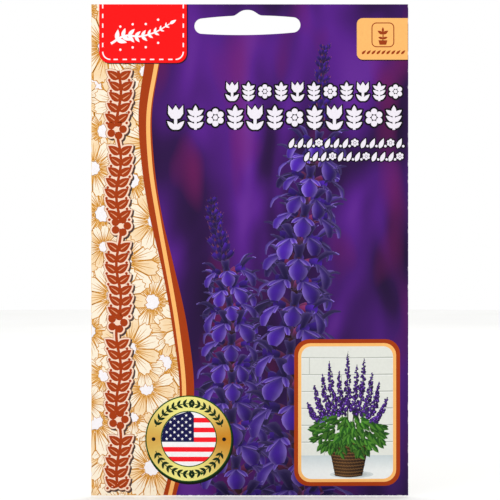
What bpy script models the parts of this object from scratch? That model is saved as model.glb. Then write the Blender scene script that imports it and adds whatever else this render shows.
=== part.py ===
"""A flower-seed packet: a folded and glued paper envelope with a euro hang slot through its header,
a small glassine sachet inside it, and loose seeds in the sachet.
Metres, +Z up, the printed front towards -Y. The origin is the top of the slot's hump, where a display
peg bears, half way through the thickness of the glued header."""

import math
from itertools import product

import bmesh
import bpy
import numpy as np

MM = 0.001

# Packet outline, from the 32 mm standard slot as the scale
WIDTH = 96.0 * MM
HEIGHT = 148.7 * MM
PEG_BELOW_TOP = 1.66 * MM
SLOT_LEFT_OF_CENTRE = 0.77 * MM

# Paper and glue
PAPER = 0.25 * MM
FLAP_PAPER = 0.2 * MM
GLUE = 0.1 * MM
HEADER = 17.0 * MM
LAP = 9.0 * MM
BOTTOM_FLAP = 13.0 * MM
FLAP_CORNER = 6.0 * MM
FLAP_END = 7.0 * MM
FOLD = 1.5 * MM
VENT = 2.0 * MM

# Pillow shape of the filled packet
BULGE = 3.4 * MM
ACROSS_POWER = 2.6
RISE_POWER = 0.36
FALL_POWER = 0.85

# Euro slot
SLOT_HALF = 13.7 * MM
SLOT_END_R = 2.35 * MM
SLOT_TOP_BOW = 0.72 * MM
SLOT_LOW_BOW = 0.53 * MM
HUMP_HALF = 4.27 * MM
HUMP_TOP = 4.74 * MM
SLOT_TILT = math.radians(0.81)

# Inner sachet and seeds
SACHET_WIDTH = 38.0 * MM
SACHET_HEIGHT = 52.0 * MM
SACHET_PAPER = 0.15 * MM
SACHET_SEAM = 2.5 * MM
SACHET_FLAP = 9.0 * MM
SACHET_BULGE = 2.0 * MM
SACHET_LIFT = 5.4 * MM
SACHET_ASIDE = 3.0 * MM
SEED_LENGTH = 2.4 * MM
SEED_THICK = 1.3 * MM
SEED_WIDTH = 1.8 * MM
SEED_PITCH = 3.2 * MM
SEED_ROWS = (5, 5)
SEED_LIFT = 6.6 * MM
SEED_RANDOM = 7

GRID_STEP = 5.4 * MM
SACHET_STEP = 4.2 * MM

CENTRE_X = SLOT_LEFT_OF_CENTRE
LEFT = CENTRE_X - WIDTH / 2
RIGHT = CENTRE_X + WIDTH / 2
TOP = PEG_BELOW_TOP
BOTTOM = TOP - HEIGHT
HEADER_LOW = TOP - HEADER
CAVITY_LOW = BOTTOM + FOLD


def material(name, colour, roughness, alpha=1.0):
    made = bpy.data.materials.new(name)
    made.use_nodes = True
    shader = made.node_tree.nodes["Principled BSDF"]
    shader.inputs["Base Color"].default_value = (*colour, 1.0)
    shader.inputs["Roughness"].default_value = roughness
    shader.inputs["Metallic"].default_value = 0.0
    shader.inputs["Alpha"].default_value = alpha
    return made


def grid_lines(marks, step):
    """Grid lines through every mark, and evenly spaced between the marks at the step or closer."""
    lines = [marks[0]]
    for low, high in zip(marks, marks[1:]):
        count = math.ceil((high - low) / step - 1e-6)
        lines += [low + (high - low) * k / count for k in range(1, count + 1)]
    return np.array(lines)


def paper_stack(name, x, z, heights, filled, paper):
    """One closed body built of paper cells. x and z place each grid point on the sheet, heights holds
    the y of each face between layers, and filled says which cells of each layer are paper."""
    mesh = bmesh.new()
    corners = {}

    def corner(place):
        if place not in corners:
            k, i, j = place
            corners[place] = mesh.verts.new((x[i, j], heights[k][i, j], z[i, j]))
        return corners[place]

    for cell in np.argwhere(filled):
        for axis, side in product(range(3), (0, 1)):
            beside = cell.copy()
            beside[axis] += 2 * side - 1
            inside = 0 <= beside[axis] < filled.shape[axis]
            if inside and filled[tuple(beside)]:
                continue
            ring = []
            for a, b in ((0, 0), (0, 1), (1, 1), (1, 0)):
                place = cell.copy()
                place[axis] += side
                place[(axis + 1) % 3] += a
                place[(axis + 2) % 3] += b
                ring.append(corner(tuple(int(n) for n in place)))
            mesh.faces.new(ring)
    bmesh.ops.recalc_face_normals(mesh, faces=mesh.faces)
    return placed(name, mesh, paper)


def placed(name, mesh, surface):
    """The object that holds a finished bmesh."""
    data = bpy.data.meshes.new(name)
    mesh.to_mesh(data)
    mesh.free()
    data.materials.append(surface)
    made = bpy.data.objects.new(name, data)
    bpy.context.scene.collection.objects.link(made)
    return made


def pillow(x, z, low, high, centre, half, power):
    """0 to 1 over a filled pocket: blunt across, quick to rise from the low end and slow to fall."""
    u = np.clip(np.abs(x - centre) / half, 0, 1)
    v = np.clip((z - low) / (high - low), 0, 1)
    peak = RISE_POWER / (RISE_POWER + FALL_POWER)
    most = peak**RISE_POWER * (1 - peak) ** FALL_POWER
    return (1 - u**power) * v**RISE_POWER * (1 - v) ** FALL_POWER / most


def flap_edge(x):
    """Height of the bottom flap's free edge above the fold, cut slanting down at both ends."""
    from_side = np.minimum(x - LEFT, RIGHT - x)
    return np.interp(from_side, [0, FLAP_CORNER], [FLAP_END, BOTTOM_FLAP])


def envelope_grid():
    """Grid points of the sheet. The row on the flap's edge follows its slanting ends."""
    near = (FOLD, FOLD + VENT, FOLD + 2 * VENT)
    across = [LEFT, *(LEFT + d for d in near), RIGHT - LAP]
    across += [*(RIGHT - d for d in reversed(near)), RIGHT]
    up = [BOTTOM, CAVITY_LOW, BOTTOM + 2 * FOLD, BOTTOM + BOTTOM_FLAP]
    up += [BOTTOM + 2 * BOTTOM_FLAP, HEADER_LOW - 2 * FOLD, HEADER_LOW, TOP]
    xs = grid_lines(across, GRID_STEP)
    zs = grid_lines(up, GRID_STEP)
    fixed = [BOTTOM, BOTTOM + 2 * FOLD, BOTTOM + BOTTOM_FLAP, BOTTOM + 2 * BOTTOM_FLAP, TOP]
    x, z = np.meshgrid(xs, zs, indexing="ij")
    for i, at in enumerate(xs):
        moved = list(fixed)
        moved[2] = BOTTOM + flap_edge(at)
        z[i] = np.interp(zs, fixed, moved)
    return xs, zs, x, z


def envelope(paper):
    """Front panel, pocket, back panel, side lap and bottom flap as one folded sheet."""
    xs, zs, x, z = envelope_grid()
    mid_x = (xs[1:] + xs[:-1]) / 2
    mid_z = (zs[1:] + zs[:-1]) / 2
    cell_x, cell_z = np.meshgrid(mid_x, mid_z, indexing="ij")
    in_width = (cell_x > LEFT + FOLD) & (cell_x < RIGHT - FOLD)
    pocket = in_width & (cell_z > CAVITY_LOW) & (cell_z < HEADER_LOW)
    from_side = np.minimum(cell_x - LEFT, RIGHT - cell_x)
    vents = (from_side > FOLD) & (from_side < FOLD + VENT) & (cell_z > HEADER_LOW)
    lap = cell_x > RIGHT - LAP
    flap = cell_z < BOTTOM + BOTTOM_FLAP
    sheet = np.ones_like(pocket)
    filled = np.stack([sheet, ~(pocket | vents), sheet, lap | flap, lap & flap])

    full = pillow(x, z, CAVITY_LOW, HEADER_LOW, CENTRE_X, WIDTH / 2 - FOLD, ACROSS_POWER)
    front = -(GLUE / 2 + PAPER + BULGE * full / 2)
    gap = GLUE + BULGE * full
    steps = [0, PAPER, gap, PAPER, FLAP_PAPER, FLAP_PAPER]
    heights = [front + sum(steps[: k + 1]) for k in range(len(steps))]
    return paper_stack("envelope", x, z, heights, filled, paper)


def slot_outline():
    """The euro slot's outline round its own centre: round ends, bowed edges and the peg's hump."""
    hump_foot = SLOT_END_R + SLOT_TOP_BOW * (1 - (HUMP_HALF / SLOT_HALF) ** 2)
    rise = HUMP_TOP - hump_foot
    hump_r = (HUMP_HALF**2 + rise**2) / (2 * rise)
    hump_angle = math.asin(HUMP_HALF / hump_r)
    points = []
    for u in np.linspace(-SLOT_HALF, SLOT_HALF, 9):
        points.append((u, -SLOT_END_R - SLOT_LOW_BOW * (1 - (u / SLOT_HALF) ** 2)))
    for turn in np.linspace(-math.pi / 2, math.pi / 2, 9)[1:-1]:
        points.append((SLOT_HALF + SLOT_END_R * math.cos(turn), SLOT_END_R * math.sin(turn)))
    for u in np.linspace(SLOT_HALF, HUMP_HALF, 5)[:-1]:
        points.append((u, SLOT_END_R + SLOT_TOP_BOW * (1 - (u / SLOT_HALF) ** 2)))
    for turn in np.linspace(hump_angle, -hump_angle, 9):
        points.append((hump_r * math.sin(turn), HUMP_TOP - hump_r + hump_r * math.cos(turn)))
    for u in np.linspace(-HUMP_HALF, -SLOT_HALF, 5)[1:]:
        points.append((u, SLOT_END_R + SLOT_TOP_BOW * (1 - (u / SLOT_HALF) ** 2)))
    for turn in np.linspace(math.pi / 2, 3 * math.pi / 2, 9)[1:-1]:
        points.append((-SLOT_HALF + SLOT_END_R * math.cos(turn), SLOT_END_R * math.sin(turn)))
    return points


def slot_punch():
    """The punch that cuts the slot, with the top of its hump at the origin and its own small tilt."""
    mesh = bmesh.new()
    deep = 2 * MM
    near = [mesh.verts.new((u, -deep, w - HUMP_TOP)) for u, w in slot_outline()]
    face = mesh.faces.new(near)
    grown = bmesh.ops.extrude_face_region(mesh, geom=[face])["geom"]
    moved = [v for v in grown if isinstance(v, bmesh.types.BMVert)]
    bmesh.ops.translate(mesh, verts=moved, vec=(0, 2 * deep, 0))
    bmesh.ops.recalc_face_normals(mesh, faces=mesh.faces)
    punch = placed("slot_punch", mesh, material("punch", (0.5, 0.5, 0.5), 0.5))
    punch.rotation_euler = (0, -SLOT_TILT, 0)
    punch.hide_render = True
    punch.display_type = "WIRE"
    return punch


def cut(body, cutter):
    tool = body.modifiers.new("slot", "BOOLEAN")
    tool.operation = "DIFFERENCE"
    tool.solver = "EXACT"
    tool.object = cutter


def sachet(paper):
    """The glassine sachet, seamed at three sides. Its mouth is folded over on the back, not glued."""
    half = SACHET_WIDTH / 2
    mouth = SACHET_HEIGHT - SACHET_FLAP
    across = [-half, SACHET_SEAM - half, 2 * SACHET_SEAM - half]
    across += [half - 2 * SACHET_SEAM, half - SACHET_SEAM, half]
    up = [0, SACHET_SEAM, 2 * SACHET_SEAM, mouth, SACHET_HEIGHT]
    xs = grid_lines(across, SACHET_STEP)
    zs = grid_lines(up, SACHET_STEP)
    x, z = np.meshgrid(xs, zs, indexing="ij")
    cell_x, cell_z = np.meshgrid((xs[1:] + xs[:-1]) / 2, (zs[1:] + zs[:-1]) / 2, indexing="ij")
    inside = (np.abs(cell_x) < half - SACHET_SEAM) & (cell_z > SACHET_SEAM)
    sheet = np.ones_like(inside)
    filled = np.stack([sheet, ~inside, sheet, cell_z > mouth])

    full = pillow(x, z, SACHET_SEAM, SACHET_HEIGHT, 0, half - SACHET_SEAM, 2 * ACROSS_POWER)
    front = -(GLUE / 2 + SACHET_PAPER + SACHET_BULGE * full / 2)
    steps = [0, SACHET_PAPER, GLUE + SACHET_BULGE * full, SACHET_PAPER, SACHET_PAPER]
    heights = [front + sum(steps[: k + 1]) for k in range(len(steps))]
    made = paper_stack("inner_sachet", x, z, heights, filled, paper)
    made.location = (CENTRE_X + SACHET_ASIDE, 0, BOTTOM + SACHET_LIFT)
    return made


def seed(name, place, turn, husk):
    """One nutlet: a flattened egg with its pointed end along its own X."""
    mesh = bmesh.new()
    bmesh.ops.create_icosphere(mesh, subdivisions=2, radius=1)
    for vertex in mesh.verts:
        narrow = 1 - 0.3 * max(0, vertex.co.x) ** 2
        vertex.co.y *= narrow * SEED_THICK / 2
        vertex.co.z *= narrow * SEED_WIDTH / 2
        vertex.co.x *= SEED_LENGTH / 2
    made = placed(name, mesh, husk)
    made.data.shade_smooth()
    made.location = place
    made.rotation_euler = (0, turn, 0)
    return made


def seeds(husk):
    """Loose seeds in rows at the bottom of the sachet, each turned its own way."""
    draw = np.random.default_rng(SEED_RANDOM)
    number = 0
    for row, count in enumerate(SEED_ROWS):
        z = BOTTOM + SACHET_LIFT + SEED_LIFT + row * SEED_PITCH * math.sqrt(3) / 2
        for column in range(count):
            number += 1
            x = CENTRE_X + SACHET_ASIDE + (column - (count - 1) / 2 + row / 2) * SEED_PITCH
            seed(f"seed_{number:02d}", (x, 0, z), draw.uniform(0, 2 * math.pi), husk)


def build():
    for old in list(bpy.data.objects):
        bpy.data.objects.remove(old, do_unlink=True)
    cut(envelope(material("coated_paper", (0.09, 0.02, 0.19), 0.35)), slot_punch())
    sachet(material("glassine", (0.86, 0.83, 0.74), 0.45))
    seeds(material("seed_husk", (0.05, 0.03, 0.02), 0.6))


build()
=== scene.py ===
"""Looks of the flower-seed packet: the printed, folded and glued paper envelope with everything that is
printed on both its panels, the glassine sachet and the seeds inside it, and the plain studio round it."""

import math

import bpy
import numpy as np
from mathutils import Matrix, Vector
from mathutils.geometry import tessellate_polygon


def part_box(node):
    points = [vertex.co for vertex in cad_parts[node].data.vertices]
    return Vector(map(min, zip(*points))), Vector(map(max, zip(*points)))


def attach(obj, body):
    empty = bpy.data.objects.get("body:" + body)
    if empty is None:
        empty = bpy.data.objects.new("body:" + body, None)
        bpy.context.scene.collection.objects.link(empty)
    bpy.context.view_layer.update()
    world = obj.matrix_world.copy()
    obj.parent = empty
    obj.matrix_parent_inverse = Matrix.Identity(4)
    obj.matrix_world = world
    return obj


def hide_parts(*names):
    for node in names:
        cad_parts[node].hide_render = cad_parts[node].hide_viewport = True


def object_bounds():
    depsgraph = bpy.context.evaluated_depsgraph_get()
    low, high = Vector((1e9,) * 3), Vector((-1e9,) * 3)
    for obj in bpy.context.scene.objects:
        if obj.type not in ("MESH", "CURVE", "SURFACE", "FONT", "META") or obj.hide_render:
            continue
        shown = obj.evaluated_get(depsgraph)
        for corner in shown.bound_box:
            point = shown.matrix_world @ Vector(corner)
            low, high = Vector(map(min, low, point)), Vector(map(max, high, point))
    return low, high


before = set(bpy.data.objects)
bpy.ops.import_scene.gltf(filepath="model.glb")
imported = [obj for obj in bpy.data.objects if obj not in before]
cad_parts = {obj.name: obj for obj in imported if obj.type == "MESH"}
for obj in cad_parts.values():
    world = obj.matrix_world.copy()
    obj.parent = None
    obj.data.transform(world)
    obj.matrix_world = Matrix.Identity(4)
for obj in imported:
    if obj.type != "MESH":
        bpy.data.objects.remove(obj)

CAD_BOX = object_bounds()


# The envelope's paper.
# One sheet of white coated paper, about 0.13 mm thick, folded at both sides and at the bottom, lapped and
# glued at the back and glued flat across the header. The filled panels swell, the sachet shows softly
# through, and bare paper shows at every cut edge and where the coating has cracked along the folds.
MM = 0.001
LEFT, RIGHT = CAD_BOX[0].x, CAD_BOX[1].x
BOTTOM, TOP = CAD_BOX[0].z, CAD_BOX[1].z
WIDE = (RIGHT - LEFT) / MM
TALL = (TOP - BOTTOM) / MM
HEADER = 17.0
FOLD = 1.5
EDGE = 0.15
HALF_PAPER = 0.15
LAP = 9.0
BOTTOM_FLAP = 13.0
FLAP_CORNER = 6.0
FLAP_END = 7.0
FLAP_PAPER = 0.2
FLAP_EASE = 1.2
TUCKED = 0.03
SWELL = 1.6
ACROSS_POWER, RISE_POWER, FALL_POWER = 2.6, 0.36, 0.85
FULLEST = 0.479
SACHET_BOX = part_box("inner_sachet")
SACHET_PRESS = 0.07
SACHET_SOFT = 2.5
BUCKLES = (
    # wave lengths across and down, and the depth
    (31.0, 17.0, 0.035),
    (-19.0, 27.0, 0.03),
    (13.0, -11.0, 0.012),
)
SLOPE_REACH = 1.5
GRID_U = np.linspace(0, WIDE, 65)
GRID_V = np.linspace(0, TALL, 101)
SLOT_HALF = 13.7
SLOT_END_R = 2.35
SLOT_TOP_BOW = 0.72
SLOT_LOW_BOW = 0.53
HUMP_HALF = 4.4
HUMP_ROUND = 1.37
HUMP_TOP = 4.74
SLOT_TILT = math.radians(0.81)
GLUE_GROOVE = (0.02, 0.1)
PRINT_VIOLET = "#43136C"
FOLD_CREAM = "#F3D29A"
BAND_FOOT = 26.0
FIBRE_MM, FLOCK_MM, CRACK_MM = 0.35, 2.4, 0.8
CUT_EDGE, FRONT_COAT, BACK_COAT, CRACKED = range(4)


def eased(x):
    """0 to 1 with soft ends."""
    x = np.clip(x, 0, 1)
    return x * x * (3 - 2 * x)


def swollen(u, v, side):
    """How far a panel stands out from the sheet's middle, in mm, at u across and v down."""
    across = np.clip(np.abs(u - WIDE / 2) / (WIDE / 2 - FOLD), 0, 1)
    up = np.clip((TALL - FOLD - v) / (TALL - FOLD - HEADER), 0, 1)
    full = (1 - across**ACROSS_POWER) * up**RISE_POWER * (1 - up) ** FALL_POWER / FULLEST
    low, high = SACHET_BOX
    ends = ((low.x - LEFT) / MM, (high.x - LEFT) / MM)
    if side == "back":
        ends = (WIDE - ends[1], WIDE - ends[0])
    press = eased((u - ends[0]) / SACHET_SOFT) * eased((ends[1] - u) / SACHET_SOFT)
    press = press * eased((v - (TOP - high.z) / MM) / SACHET_SOFT)
    press = press * eased(((TOP - low.z) / MM - v) / SACHET_SOFT)
    wave = 0
    for k, (along_u, along_v, deep) in enumerate(BUCKLES):
        turn = u / along_u + v / along_v + k + (2 if side == "back" else 0)
        wave = wave + deep * np.sin(math.pi * turn)
    loose = np.clip(3 * full, 0, 1)
    return HALF_PAPER + SWELL * full + loose * (SACHET_PRESS * press + wave)


SWOLLEN = {side: swollen(GRID_U[:, None], GRID_V[None, :], side) for side in ("front", "back")}


def height(u, v, side):
    """The panel's height at any point, straight between the sheet's grid points, so that ink cut on
    the same grid lies exactly along it."""
    table = SWOLLEN[side]
    a = np.clip(u / WIDE * (len(GRID_U) - 1), 0, len(GRID_U) - 1.000001)
    b = np.clip(v / TALL * (len(GRID_V) - 1), 0, len(GRID_V) - 1.000001)
    i, j = a.astype(int), b.astype(int)
    s, t = a - i, b - j
    low = table[i, j] * (1 - s) + table[i + 1, j] * s
    high = table[i, j + 1] * (1 - s) + table[i + 1, j + 1] * s
    return low * (1 - t) + high * t


def on_panel(u, v, lift, side):
    """World places and outward normals of points on a panel, lifted off it by lift mm. u runs right
    and v runs down from the top left corner of the panel as one looks at it."""
    u, v = np.asarray(u, float), np.asarray(v, float)
    out = height(u, v, side) + lift
    reach = SLOPE_REACH
    slope_u = (height(u + reach, v, side) - height(u - reach, v, side)) / (2 * reach)
    slope_v = (height(u, v + reach, side) - height(u, v - reach, side)) / (2 * reach)
    way = -1 if side == "front" else 1
    start = LEFT if side == "front" else RIGHT
    places = np.stack([start - way * u * MM, way * out * MM, TOP - v * MM], 1)
    normals = np.stack([way * slope_u, way * np.ones_like(u), slope_v], 1)
    return places, normals / np.linalg.norm(normals, axis=1)[:, None]


def split(piece, axis, line):
    """The two parts of a convex piece on either side of a line across one axis."""
    near, far = [], []
    for a, b in zip(piece, piece[1:] + piece[:1]):
        da, db = a[axis] - line, b[axis] - line
        if da <= 0:
            near.append(a)
        if da >= 0:
            far.append(a)
        if da * db < 0:
            t = da / (da - db)
            cross = tuple(p + (q - p) * t for p, q in zip(a, b))
            near.append(cross)
            far.append(cross)
    return near, far


def sliced(piece, axis, lines):
    """A convex piece cut into strips along the grid lines that cross it."""
    values = [p[axis] for p in piece]
    first = np.searchsorted(lines, min(values) + 1e-6)
    last = np.searchsorted(lines, max(values) - 1e-6)
    strips = []
    for line in lines[first:last]:
        near, piece = split(piece, axis, line)
        if len(near) > 2:
            strips.append(near)
    return strips + ([piece] if len(piece) > 2 else [])


def clipped(pieces, low, high):
    """The parts of the pieces inside a rectangle, from corner low to corner high."""
    for axis in (0, 1):
        kept = []
        for points, *rest in pieces:
            points = split(points, axis, low[axis])[1]
            points = split(points, axis, high[axis])[0] if len(points) > 2 else points
            if len(points) > 2:
                kept.append((points, *rest))
        pieces = kept
    return pieces


def gridded(pieces):
    """Pieces clipped to the panel and cut along the sheet's grid lines."""
    for points, *rest in clipped(pieces, (EDGE, 0), (WIDE - EDGE, TALL - EDGE)):
        for strip in sliced(points, 0, GRID_U):
            for cell in sliced(strip, 1, GRID_V):
                yield (cell, *rest)


def faced(points):
    """A flat face's points in the order that turns it outwards."""
    area = sum(a[0] * b[1] - b[0] * a[1] for a, b in zip(points, points[1:] + points[:1]))
    return list(points) if area < 0 else list(points)[::-1]


def ring(centre, radius, count=40, start=0.0, end=2 * math.pi):
    """Points round a circle or an arc; a whole circle isn't closed by a second first point."""
    last = end if end - start < 6.28 else end - (end - start) / count
    turns = np.linspace(start, last, count)
    return [(centre[0] + radius * math.cos(t), centre[1] + radius * math.sin(t)) for t in turns]


class Artwork:
    """Flat shapes in mm on one panel, each with its film number and its paint: a colour, or a
    function of u and v that gives one."""

    def __init__(self):
        self.pieces = []

    def faces(self, points, faces, paint, film):
        """Faces that name their points by number."""
        for face in faces:
            self.pieces.append(([tuple(map(float, points[k])) for k in face], paint, film))

    def fill(self, outline, paint, film, holes=()):
        """A filled outline, with holes."""
        rings = [list(outline), *(list(h) for h in holes)]
        triangles = tessellate_polygon([[Vector((u, v, 0)) for u, v in r] for r in rings])
        self.faces([p for r in rings for p in r], triangles, paint, film)

    def between(self, one, other, paint, film):
        """The strip between two lines of as many points."""
        count = len(one)
        quads = [(k, k + 1, count + k + 1, count + k) for k in range(count - 1)]
        self.faces([*one, *other], quads, paint, film)

    def stroke(self, line, width, paint, film, closed=False):
        """A drawn line. width is a number or one for each point."""
        line = np.asarray([*line, line[0]] if closed else line, float)
        ahead = np.gradient(line, axis=0)
        if closed:
            ahead[0] = ahead[-1] = line[1] - line[-2]
        ahead /= np.maximum(np.linalg.norm(ahead, axis=1), 1e-9)[:, None]
        aside = np.stack([-ahead[:, 1], ahead[:, 0]], 1)
        half = np.broadcast_to(np.asarray(width, float), len(line))[:, None] / 2
        self.between(line - aside * half, line + aside * half, paint, film)

    def dot(self, centre, radius, paint, film, count=20):
        """A filled circle."""
        self.fill(ring(centre, radius, count), paint, film)


def made_piece(name, places, normals, sizes, materials, paints=None, slots=None):
    """A piece from the world places, normals and paints of its faces' corners, face after face.
    Corners that meet are welded, and a corner or a face that comes to nothing is left out."""
    sizes = np.asarray(sizes)
    welded = np.unique(np.round(places, 7), axis=0, return_inverse=True)[1].ravel()
    face = np.repeat(np.arange(len(sizes)), sizes)
    after = np.arange(len(welded)) + 1
    after[np.cumsum(sizes) - 1] = np.cumsum(sizes) - sizes
    keep = welded != welded[after]
    keep &= (np.bincount(face[keep], minlength=len(sizes)) > 2)[face]
    sizes = np.bincount(face[keep], minlength=len(sizes))
    first, points = np.unique(welded[keep], return_index=True, return_inverse=True)[1:]
    faces = np.split(points.ravel(), np.cumsum(sizes[sizes > 0])[:-1])
    data = bpy.data.meshes.new(name)
    data.from_pydata(places[keep][first].tolist(), [], [f.tolist() for f in faces])
    for material in materials:
        data.materials.append(material)
    if slots is not None:
        data.polygons.foreach_set("material_index", np.asarray(slots)[sizes > 0].astype(np.int32))
    if paints is not None:
        layer = data.color_attributes.new("ink", "FLOAT_COLOR", "CORNER")
        shown = np.concatenate([paints[keep], np.ones((keep.sum(), 1))], 1)
        layer.data.foreach_set("color", shown.astype(np.float32).ravel())
    data.shade_smooth()
    data.normals_split_custom_set(normals[keep].tolist())
    made = bpy.data.objects.new(name, data)
    bpy.context.scene.collection.objects.link(made)
    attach(made, "root")
    return made


def slot_line(side):
    """The euro slot's outline on a panel: the top of its hump is the world's origin."""
    def top(u):
        bow = SLOT_END_R + SLOT_TOP_BOW * (1 - (u / SLOT_HALF) ** 2)
        bell = 0.5 + 0.5 * math.cos(math.pi * min(abs(u) / HUMP_HALF, 1) ** HUMP_ROUND)
        return bow + (HUMP_TOP - SLOT_END_R - SLOT_TOP_BOW) * bell

    across = np.linspace(-SLOT_HALF, SLOT_HALF, 17)
    points = [(u, -SLOT_END_R - SLOT_LOW_BOW * (1 - (u / SLOT_HALF) ** 2)) for u in across]
    points += ring((SLOT_HALF, 0), SLOT_END_R, 19, -math.pi / 2, math.pi / 2)[1:-1]
    flat = np.linspace(SLOT_HALF, HUMP_HALF, 7)
    points += [(u, top(u)) for u in (*flat, *np.linspace(HUMP_HALF, -HUMP_HALF, 25)[1:-1], *-flat[::-1])]
    points += ring((-SLOT_HALF, 0), SLOT_END_R, 19, math.pi / 2, 1.5 * math.pi)[1:-1]
    c, s = math.cos(SLOT_TILT), math.sin(SLOT_TILT)
    line = []
    for u, w in points:
        x, z = u * c - (w - HUMP_TOP) * s, u * s + (w - HUMP_TOP) * c
        line.append((x - LEFT / MM if side == "front" else RIGHT / MM - x, TOP / MM - z))
    return line


def on_grid(line, closed=True):
    """A line with a point added wherever it crosses the sheet's grid."""
    points = []
    for a, b in zip(line, line[1:] + (line[:1] if closed else [])):
        shares = [0.0]
        for axis, lines in ((0, GRID_U), (1, GRID_V)):
            if a[axis] != b[axis]:
                shares += [t for t in (lines - a[axis]) / (b[axis] - a[axis]) if 1e-6 < t < 1 - 1e-6]
        points += [(a[0] + (b[0] - a[0]) * t, a[1] + (b[1] - a[1]) * t) for t in sorted(shares)]
    return points if closed else [*points, line[-1]]


class Shell:
    """The corners of the folded sheet's faces, with their normals and their material's number."""

    def __init__(self):
        self.places, self.normals, self.sizes, self.slots = [], [], [], []

    def add(self, places, normals, sizes, slot):
        """The corners of faces that have so many corners each, with their normals."""
        self.places.append(places)
        self.normals.append(normals)
        self.sizes += sizes
        self.slots += [slot] * len(sizes)

    def panel(self, outline, side, lift, slot, holes=()):
        """A flat layer on a panel. lift is a function of u and v, in mm."""
        layer = Artwork()
        layer.fill(outline, None, 0, holes)
        flat, sizes = [], []
        for points, *_ in gridded(layer.pieces):
            flat += faced(points)
            sizes.append(len(points))
        u, v = np.array(flat).T
        self.add(*on_panel(u, v, lift(u, v), side), sizes, slot)

    def rows(self, places, normals, slot, closed=False):
        """Quads between neighbours in a grid of rows of world places, with a normal at each."""
        count, length = places.shape[:2]
        i, j = np.meshgrid(np.arange(count - 1), np.arange(length - (not closed)), indexing="ij")
        k = (j + 1) % length
        ring_of = [(i, j), (i, k), (i + 1, k), (i + 1, j)]
        corners = np.stack([places[a, b] for a, b in ring_of], 2).reshape(-1, 3)
        turned = np.stack([normals[a, b] for a, b in ring_of], 2).reshape(-1, 3)
        self.add(corners, turned, [4] * i.size, slot)


def cut_profile():
    """Across a cut edge of two glued layers: how deep each point lies and where it is from front to
    back. The glue line shows as a fine groove."""
    groove, deep = GLUE_GROOVE
    half = HALF_PAPER
    return [(0, -half), (0, -groove), (deep, -groove / 3), (deep, groove / 3), (0, groove), (0, half)]


def lap_lift(u, v):
    """The side lap's height over the back panel: it comes round the fold and ends in a cut edge."""
    return FLAP_PAPER * eased((u - EDGE) / FLAP_EASE)


def draped(u, v):
    """The bottom flap's height over the back panel and over the lap's step beneath it."""
    under = FLAP_PAPER * eased((LAP + FLAP_EASE - u) / FLAP_EASE) * eased((u - EDGE) / FLAP_EASE)
    return FLAP_PAPER * eased((TALL - EDGE - v) / FLAP_EASE) + under * eased((TALL - v) / FLAP_EASE)


def edge_rows(shell):
    """The rounded folds down both sides and along the bottom, and the cut edge along the top."""
    down = np.append(GRID_V[:-1], TALL - EDGE)
    over = np.concatenate([[EDGE], GRID_U[1:-1], [WIDE - EDGE]])
    path = [(EDGE, v, -1, 0) for v in down[:-1]] + [(EDGE, down[-1], -1, 1)]
    path += [(u, TALL - EDGE, 0, 1) for u in over[1:-1]] + [(WIDE - EDGE, down[-1], 1, 1)]
    path += [(WIDE - EDGE, v, 1, 0) for v in down[-2::-1]]
    u, v, out_u, out_v = np.array(path, float).T
    places, normals = [], []
    for turn in np.linspace(-math.pi / 2, math.pi / 2, 7):
        c, s = math.cos(turn) * EDGE, math.sin(turn)
        deep = np.where(s < 0, height(u, v, "front"), height(WIDE - u, v, "back")) * s
        places.append(np.stack([LEFT + (u + out_u * c) * MM, deep * MM, TOP - (v + out_v * c) * MM], 1))
        normals.append(np.stack([out_u * math.cos(turn), 0 * u + s, -out_v * math.cos(turn)], 1))
    normals = np.array(normals)
    normals /= np.linalg.norm(normals, axis=2)[..., None]
    shell.rows(np.array(places)[::-1], normals[::-1], CRACKED)
    cut = [np.stack([LEFT + over * MM, 0 * over + y * MM, TOP - 0 * over - d * MM], 1)
           for d, y in cut_profile()]
    up = np.broadcast_to((0.0, 0.0, 1.0), np.array(cut).shape)
    shell.rows(np.array(cut)[::-1], up, CUT_EDGE)


def slot_rows(shell, line):
    """The slot's cut edge, right through both glued layers."""
    line = np.array(line)
    ahead = np.roll(line, -1, 0) - np.roll(line, 1, 0)
    ahead /= np.linalg.norm(ahead, axis=1)[:, None]
    turns = np.sum(line[:, 0] * np.roll(line[:, 1], -1) - np.roll(line[:, 0], -1) * line[:, 1])
    inward = np.stack([-ahead[:, 1], ahead[:, 0]], 1) * (1 if turns > 0 else -1)
    places, normals = [], []
    for deep, y in cut_profile():
        at = line - inward * deep
        places.append(np.stack([LEFT + at[:, 0] * MM, 0 * at[:, 0] + y * MM, TOP - at[:, 1] * MM], 1))
        normals.append(np.stack([inward[:, 0], 0 * at[:, 0], -inward[:, 1]], 1))
    shell.rows(np.array(places)[:: -1 if turns < 0 else 1], np.array(normals), CUT_EDGE, closed=True)


def free_edge(shell, line, out, lift):
    """The cut edge of a lap or flap, from its top down to just under the panel that it lies on."""
    u, v = np.array(on_grid(line, closed=False)).T
    top = on_panel(u, v, lift(u, v), "back")[0]
    low = on_panel(u, v, 0 * u - TUCKED, "back")[0]
    away = np.array([-out[0], 0.0, -out[1]]) / math.hypot(*out)
    shell.rows(np.stack([top, low]), np.broadcast_to(away, (2, *top.shape)), CUT_EDGE)


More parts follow.
